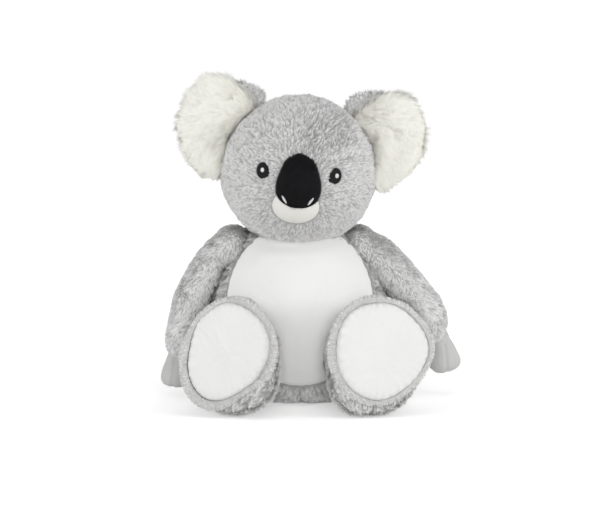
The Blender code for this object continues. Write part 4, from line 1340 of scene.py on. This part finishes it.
headNeighbours = treeOf(torso, *earBacks.values(), *earLinings.values(), *arms.values())
for name, faceSign, thick in (("headPileFront", -1.0, 2.0), ("headPileBack", 1.0, 1.5)):
    growPile(name, head, dict(headCoat, perSquareMm=thick, seed=104 + int(faceSign)), headComb, greyPile,
             "head_link",
             lambda roots, normals: headKeep(roots) * (local(roots, neckFrame)[:, 1] * faceSign > 0),
             headLengths, headNeighbours, headTousle)


# the sleeves' pile is darkened where it lies against the body and head: painted shade where the parts meet
sleeveCoat = dict(plainCoat, perSquareMm=2.1, width=0.00070, length=0.0046, perClump=5.0, pull=0.5, stir=42.0,
                  normalKeep=0.8, rubbedAndShaded=0.9)
sleevePileLook = {"slope": 62, "hang": {"right": 0.0, "left": 13.0}}


# down the sleeve, steeper on the left arm
def sleeveWay(side):
    slope, hang = math.radians(sleevePileLook["slope"]), math.radians(sleevePileLook["hang"][side])
    return sideSigns[side] * math.cos(slope + hang * 0.8), -0.1, -math.sin(slope)


legPileLook = {"rimShare": 0.97, "rimDepth": 0.006, "floor": 0.0010, "droop": 0.45}


# none behind the rim or against the floor
def legKeep(roots, side):
    look = legPileLook
    here = local(roots, soleFrameOf(side))
    behindRim = (onOval(here, side, "rim") < look["rimShare"]) & (here[:, 1] < look["rimDepth"])
    return np.where(behindRim | (roots[:, 2] < look["floor"]), 0.0, 1.0)


def legComb(roots, side):
    away = np.array(soleFrameOf(side))[:3, :3] @ np.array([0.0, -1.0, 0.0])
    way = np.tile(away, (len(roots), 1)) * 0.9
    way[:, 2] -= legPileLook["droop"]
    return way


rimCoat = dict(plainCoat, perSquareMm=3.2, length=0.0022, width=0.0005, lean=48.0, stir=30.0)
rimPileLook = {"sole": 0.99, "behind": -0.75, "depth": 0.012}


# outward from the middle of the sole
def rimComb(roots, side):
    here = local(roots, soleFrameOf(side))
    here[:, 1] = rimPileLook["depth"]
    return unit(here) @ np.array(soleFrameOf(side))[:3, :3].T


# none over the sole or on the rim's inner side
def rimKeep(roots, normals, side):
    here = local(roots, soleFrameOf(side))
    inner = onOval(here, side, "sole") * rimPileLook["sole"]
    outer = unit(here * np.array([1.0, 0.0, 1.0])) @ np.array(soleFrameOf(side))[:3, :3].T
    return np.where((inner < 1.0) | ((normals * outer).sum(1) < rimPileLook["behind"]), 0.0, 1.0)


earBackCoat = dict(plainCoat, perSquareMm=1.6, width=0.00068, length=0.0050)
earLiningCoat = dict(
    plainCoat, perSquareMm=3.0, length=0.0100, width=0.00060, stations=3, taper=(0.9, 0.9, 0.6), lean=58.0,
    droop=30.0, wave=0.10, perClump=14.0, pull=0.6, swirl=34.0, stir=24.0, stirSize=0.009, stray=12.0,
    swirlSize=0.03, splay=38.0, normalKeep=0.75)
liningPileLook = {
    "corner": (0.030, 0.030), "cornerReach": 0.022, "shortest": 0.35, "fringeFrom": 0.026,
    "fringeOver": 0.010, "fringe": 0.35}


# away from a point on the side of the seam, along the cloth, and a little down
def earComb(roots, side, fromSeam, up, down):
    place = earFrameOf(side)
    here = local(roots, place) + np.array([sideSigns[side] * fromSeam, 0, up])
    here[:, 1] *= 0.3
    way = unit(here) @ np.array(place)[:3, :3].T
    way[:, 2] -= down
    return way


# none where the lining covers the back
def earBackKeep(roots, normals, side):
    lining = treeOf(earLinings[side])
    covered = np.array([lining.find_nearest(root, 0.005)[0] is not None for root in roots])
    return np.where(covered & (normals @ np.array(earFrameOf(side))[:3, 1] < -0.3), 0.0, 1.0)


# none on the side that lies against the back
def liningKeep(normals, side):
    return np.where(normals @ np.array(earFrameOf(side))[:3, 1] < 0.85, 1.0, 0.0)


# short in the corner by the head, long round the edge
def liningLengths(roots, normals, side):
    here, look = local(roots, earFrameOf(side)), liningPileLook
    across, up = look["corner"]
    corner = np.hypot(here[:, 0] + sideSigns[side] * across, here[:, 2] - up)
    reach = np.hypot(here[:, 0], here[:, 2] * 0.86)
    fringe = np.clip((reach - look["fringeFrom"]) / look["fringeOver"], 0, 1)
    return np.clip(corner / look["cornerReach"], look["shortest"], 1.0) * (1 + look["fringe"] * fringe)


for side, sign in sideSigns.items():
    step = int(sign)
    growPile(f"armPile_{side}", arms[side], dict(sleeveCoat, seed=110 + step), direction(*sleeveWay(side)),
             sleeveLitPile, f"arm_{side}_link", neighbours=treeOf(torso, head))
    growPile(f"legPile_{side}", legs[side], dict(plainCoat, seed=120 + step),
             lambda roots, normals: legComb(roots, side), greyPile, f"leg_{side}_link",
             lambda roots, normals: legKeep(roots, side), neighbours=treeOf(torso))
    growPile(f"rimPile_{side}", rims[side], dict(rimCoat, seed=130 + step),
             lambda roots, normals: rimComb(roots, side), rimPile, f"leg_{side}_link",
             lambda roots, normals: rimKeep(roots, normals, side))
    growPile(f"earBackPile_{side}", earBacks[side], dict(earBackCoat, seed=140 + step),
             lambda roots, normals: earComb(roots, side, 0.022, 0.004, 0.25), greyPile, f"ear_{side}_link",
             lambda roots, normals: earBackKeep(roots, normals, side), neighbours=treeOf(head))
    growPile(f"earLiningPile_{side}", earLinings[side], dict(earLiningCoat, seed=150 + step),
             lambda roots, normals: earComb(roots, side, 0.052, 0.0, 0.15), whitePile, f"ear_{side}_link",
             lambda roots, normals: liningKeep(normals, side),
             lambda roots, normals: liningLengths(roots, normals, side), treeOf(head))

# short velvet on the nose
noseCoat = dict(plainCoat, perSquareMm=3.0, length=0.0012, width=0.00040, perClump=4.0)
growPile("nosePile", nose, dict(noseCoat, seed=160), direction(0.1, 0, 1), blackPile, "head_link",
         lambda roots, normals: np.where(normals[:, 1] < 0.3, 1.0, 0.0),
         lambda roots, normals: 1.0 + 1.6 * np.clip((local(roots, nosePlace)[:, 2] - 0.008) / 0.012, 0, 1))
print("pile grown")


# floor, light and camera

floorLook = {"near": 0.40, "fadeFrom": 0.2, "fadeTo": 0.7, "tone": 0.9, "halfSize": 6, "height": -0.0004}
lightLook = {
    "ambient": 0.45, "aim": (0, -0.03, 0.14),
    # place, size, power
    "lamps": {
        "front": ((0.1, -2.3, 0.42), 0.8, 16.0),
        "leftSide": ((-1.9, -0.9, 0.6), 1.1, 9.0),
        "rightSide": ((2.0, -0.9, 0.6), 1.1, 11.5),
        "top": ((0.2, -0.6, 2.1), 1.6, 6.0),
        "back": ((0.1, 2.1, 1.2), 1.6, 6.0),
    },
}
cameraLook = {"place": (-0.0033, -1.6437, 0.2792), "tilt": 85.0, "lens": 105.45, "sensor": 36.0}


def makeFloor(look):
    bm = bmesh.new()
    bmesh.ops.create_grid(bm, x_segments=1, y_segments=1, size=look["halfSize"])
    floor = putInScene("floor", newMesh("floor", bm))
    floor.location.z = look["height"]
    material, shader = newMaterial("paperFloor", 0.9)
    shader.inputs["Base Color"].default_value = (look["tone"], look["tone"], look["tone"], 1)
    wires = Wires(material)
    rays = wires.node("LightPath")
    seen = wires.maths("ADD", rays.outputs["Is Camera Ray"], rays.outputs["Is Glossy Ray"])
    seen = wires.maths("ADD", seen, rays.outputs["Is Transmission Ray"])
    reach = wires.node("VectorMath", operation="LENGTH")
    wires.link(wires.node("TexCoord").outputs["Object"], reach.inputs[0])
    fade = wires.node("MapRange", interpolation_type="SMOOTHSTEP")
    wires.link(reach.outputs["Value"], fade.inputs["Value"])
    spans = {"From Min": look["fadeFrom"], "From Max": look["fadeTo"], "To Min": look["near"], "To Max": 1.0}
    for slot, value in spans.items():
        fade.inputs[slot].default_value = value
    shader.inputs["Emission Color"].default_value = (1, 1, 1, 1)
    wires.link(wires.maths("MULTIPLY", seen, fade.outputs[0]), shader.inputs["Emission Strength"])
    floor.data.materials.append(material)


# white where the camera sees it, dimmer as a light
def makeWorld(ambient):
    world = bpy.data.worlds.new("studio")
    world.use_nodes = True
    bpy.context.scene.world = world
    wires = Wires(world)
    back = world.node_tree.nodes["Background"]
    back.inputs["Color"].default_value = (1, 1, 1, 1)
    rays = wires.node("LightPath")
    seen = wires.maths("MAXIMUM", rays.outputs["Is Camera Ray"], rays.outputs["Is Glossy Ray"])
    wires.link(wires.maths("MULTIPLY_ADD", seen, 1 - ambient, ambient), back.inputs["Strength"])


def addLamp(name, place, size, power):
    lamp = bpy.data.lights.new(name, "AREA")
    lamp.shape = "DISK"
    lamp.size = size
    lamp.energy = power
    obj = putInScene(name, lamp)
    obj.location = place
    obj.rotation_euler = (Vector(lightLook["aim"]) - Vector(place)).to_track_quat("-Z", "Y").to_euler()


def addCamera(look):
    camera = bpy.data.cameras.new("camera")
    camera.lens = look["lens"]
    camera.sensor_width = look["sensor"]
    obj = putInScene("camera", camera)
    obj.location = look["place"]
    obj.rotation_euler = (math.radians(look["tilt"]), 0, 0)
    bpy.context.scene.camera = obj


makeFloor(floorLook)
makeWorld(lightLook["ambient"])
for lampName, settings in lightLook["lamps"].items():
    addLamp(lampName, *settings)
addCamera(cameraLook)
bpy.context.scene.view_settings.view_transform = "Standard"

print("scene ready")
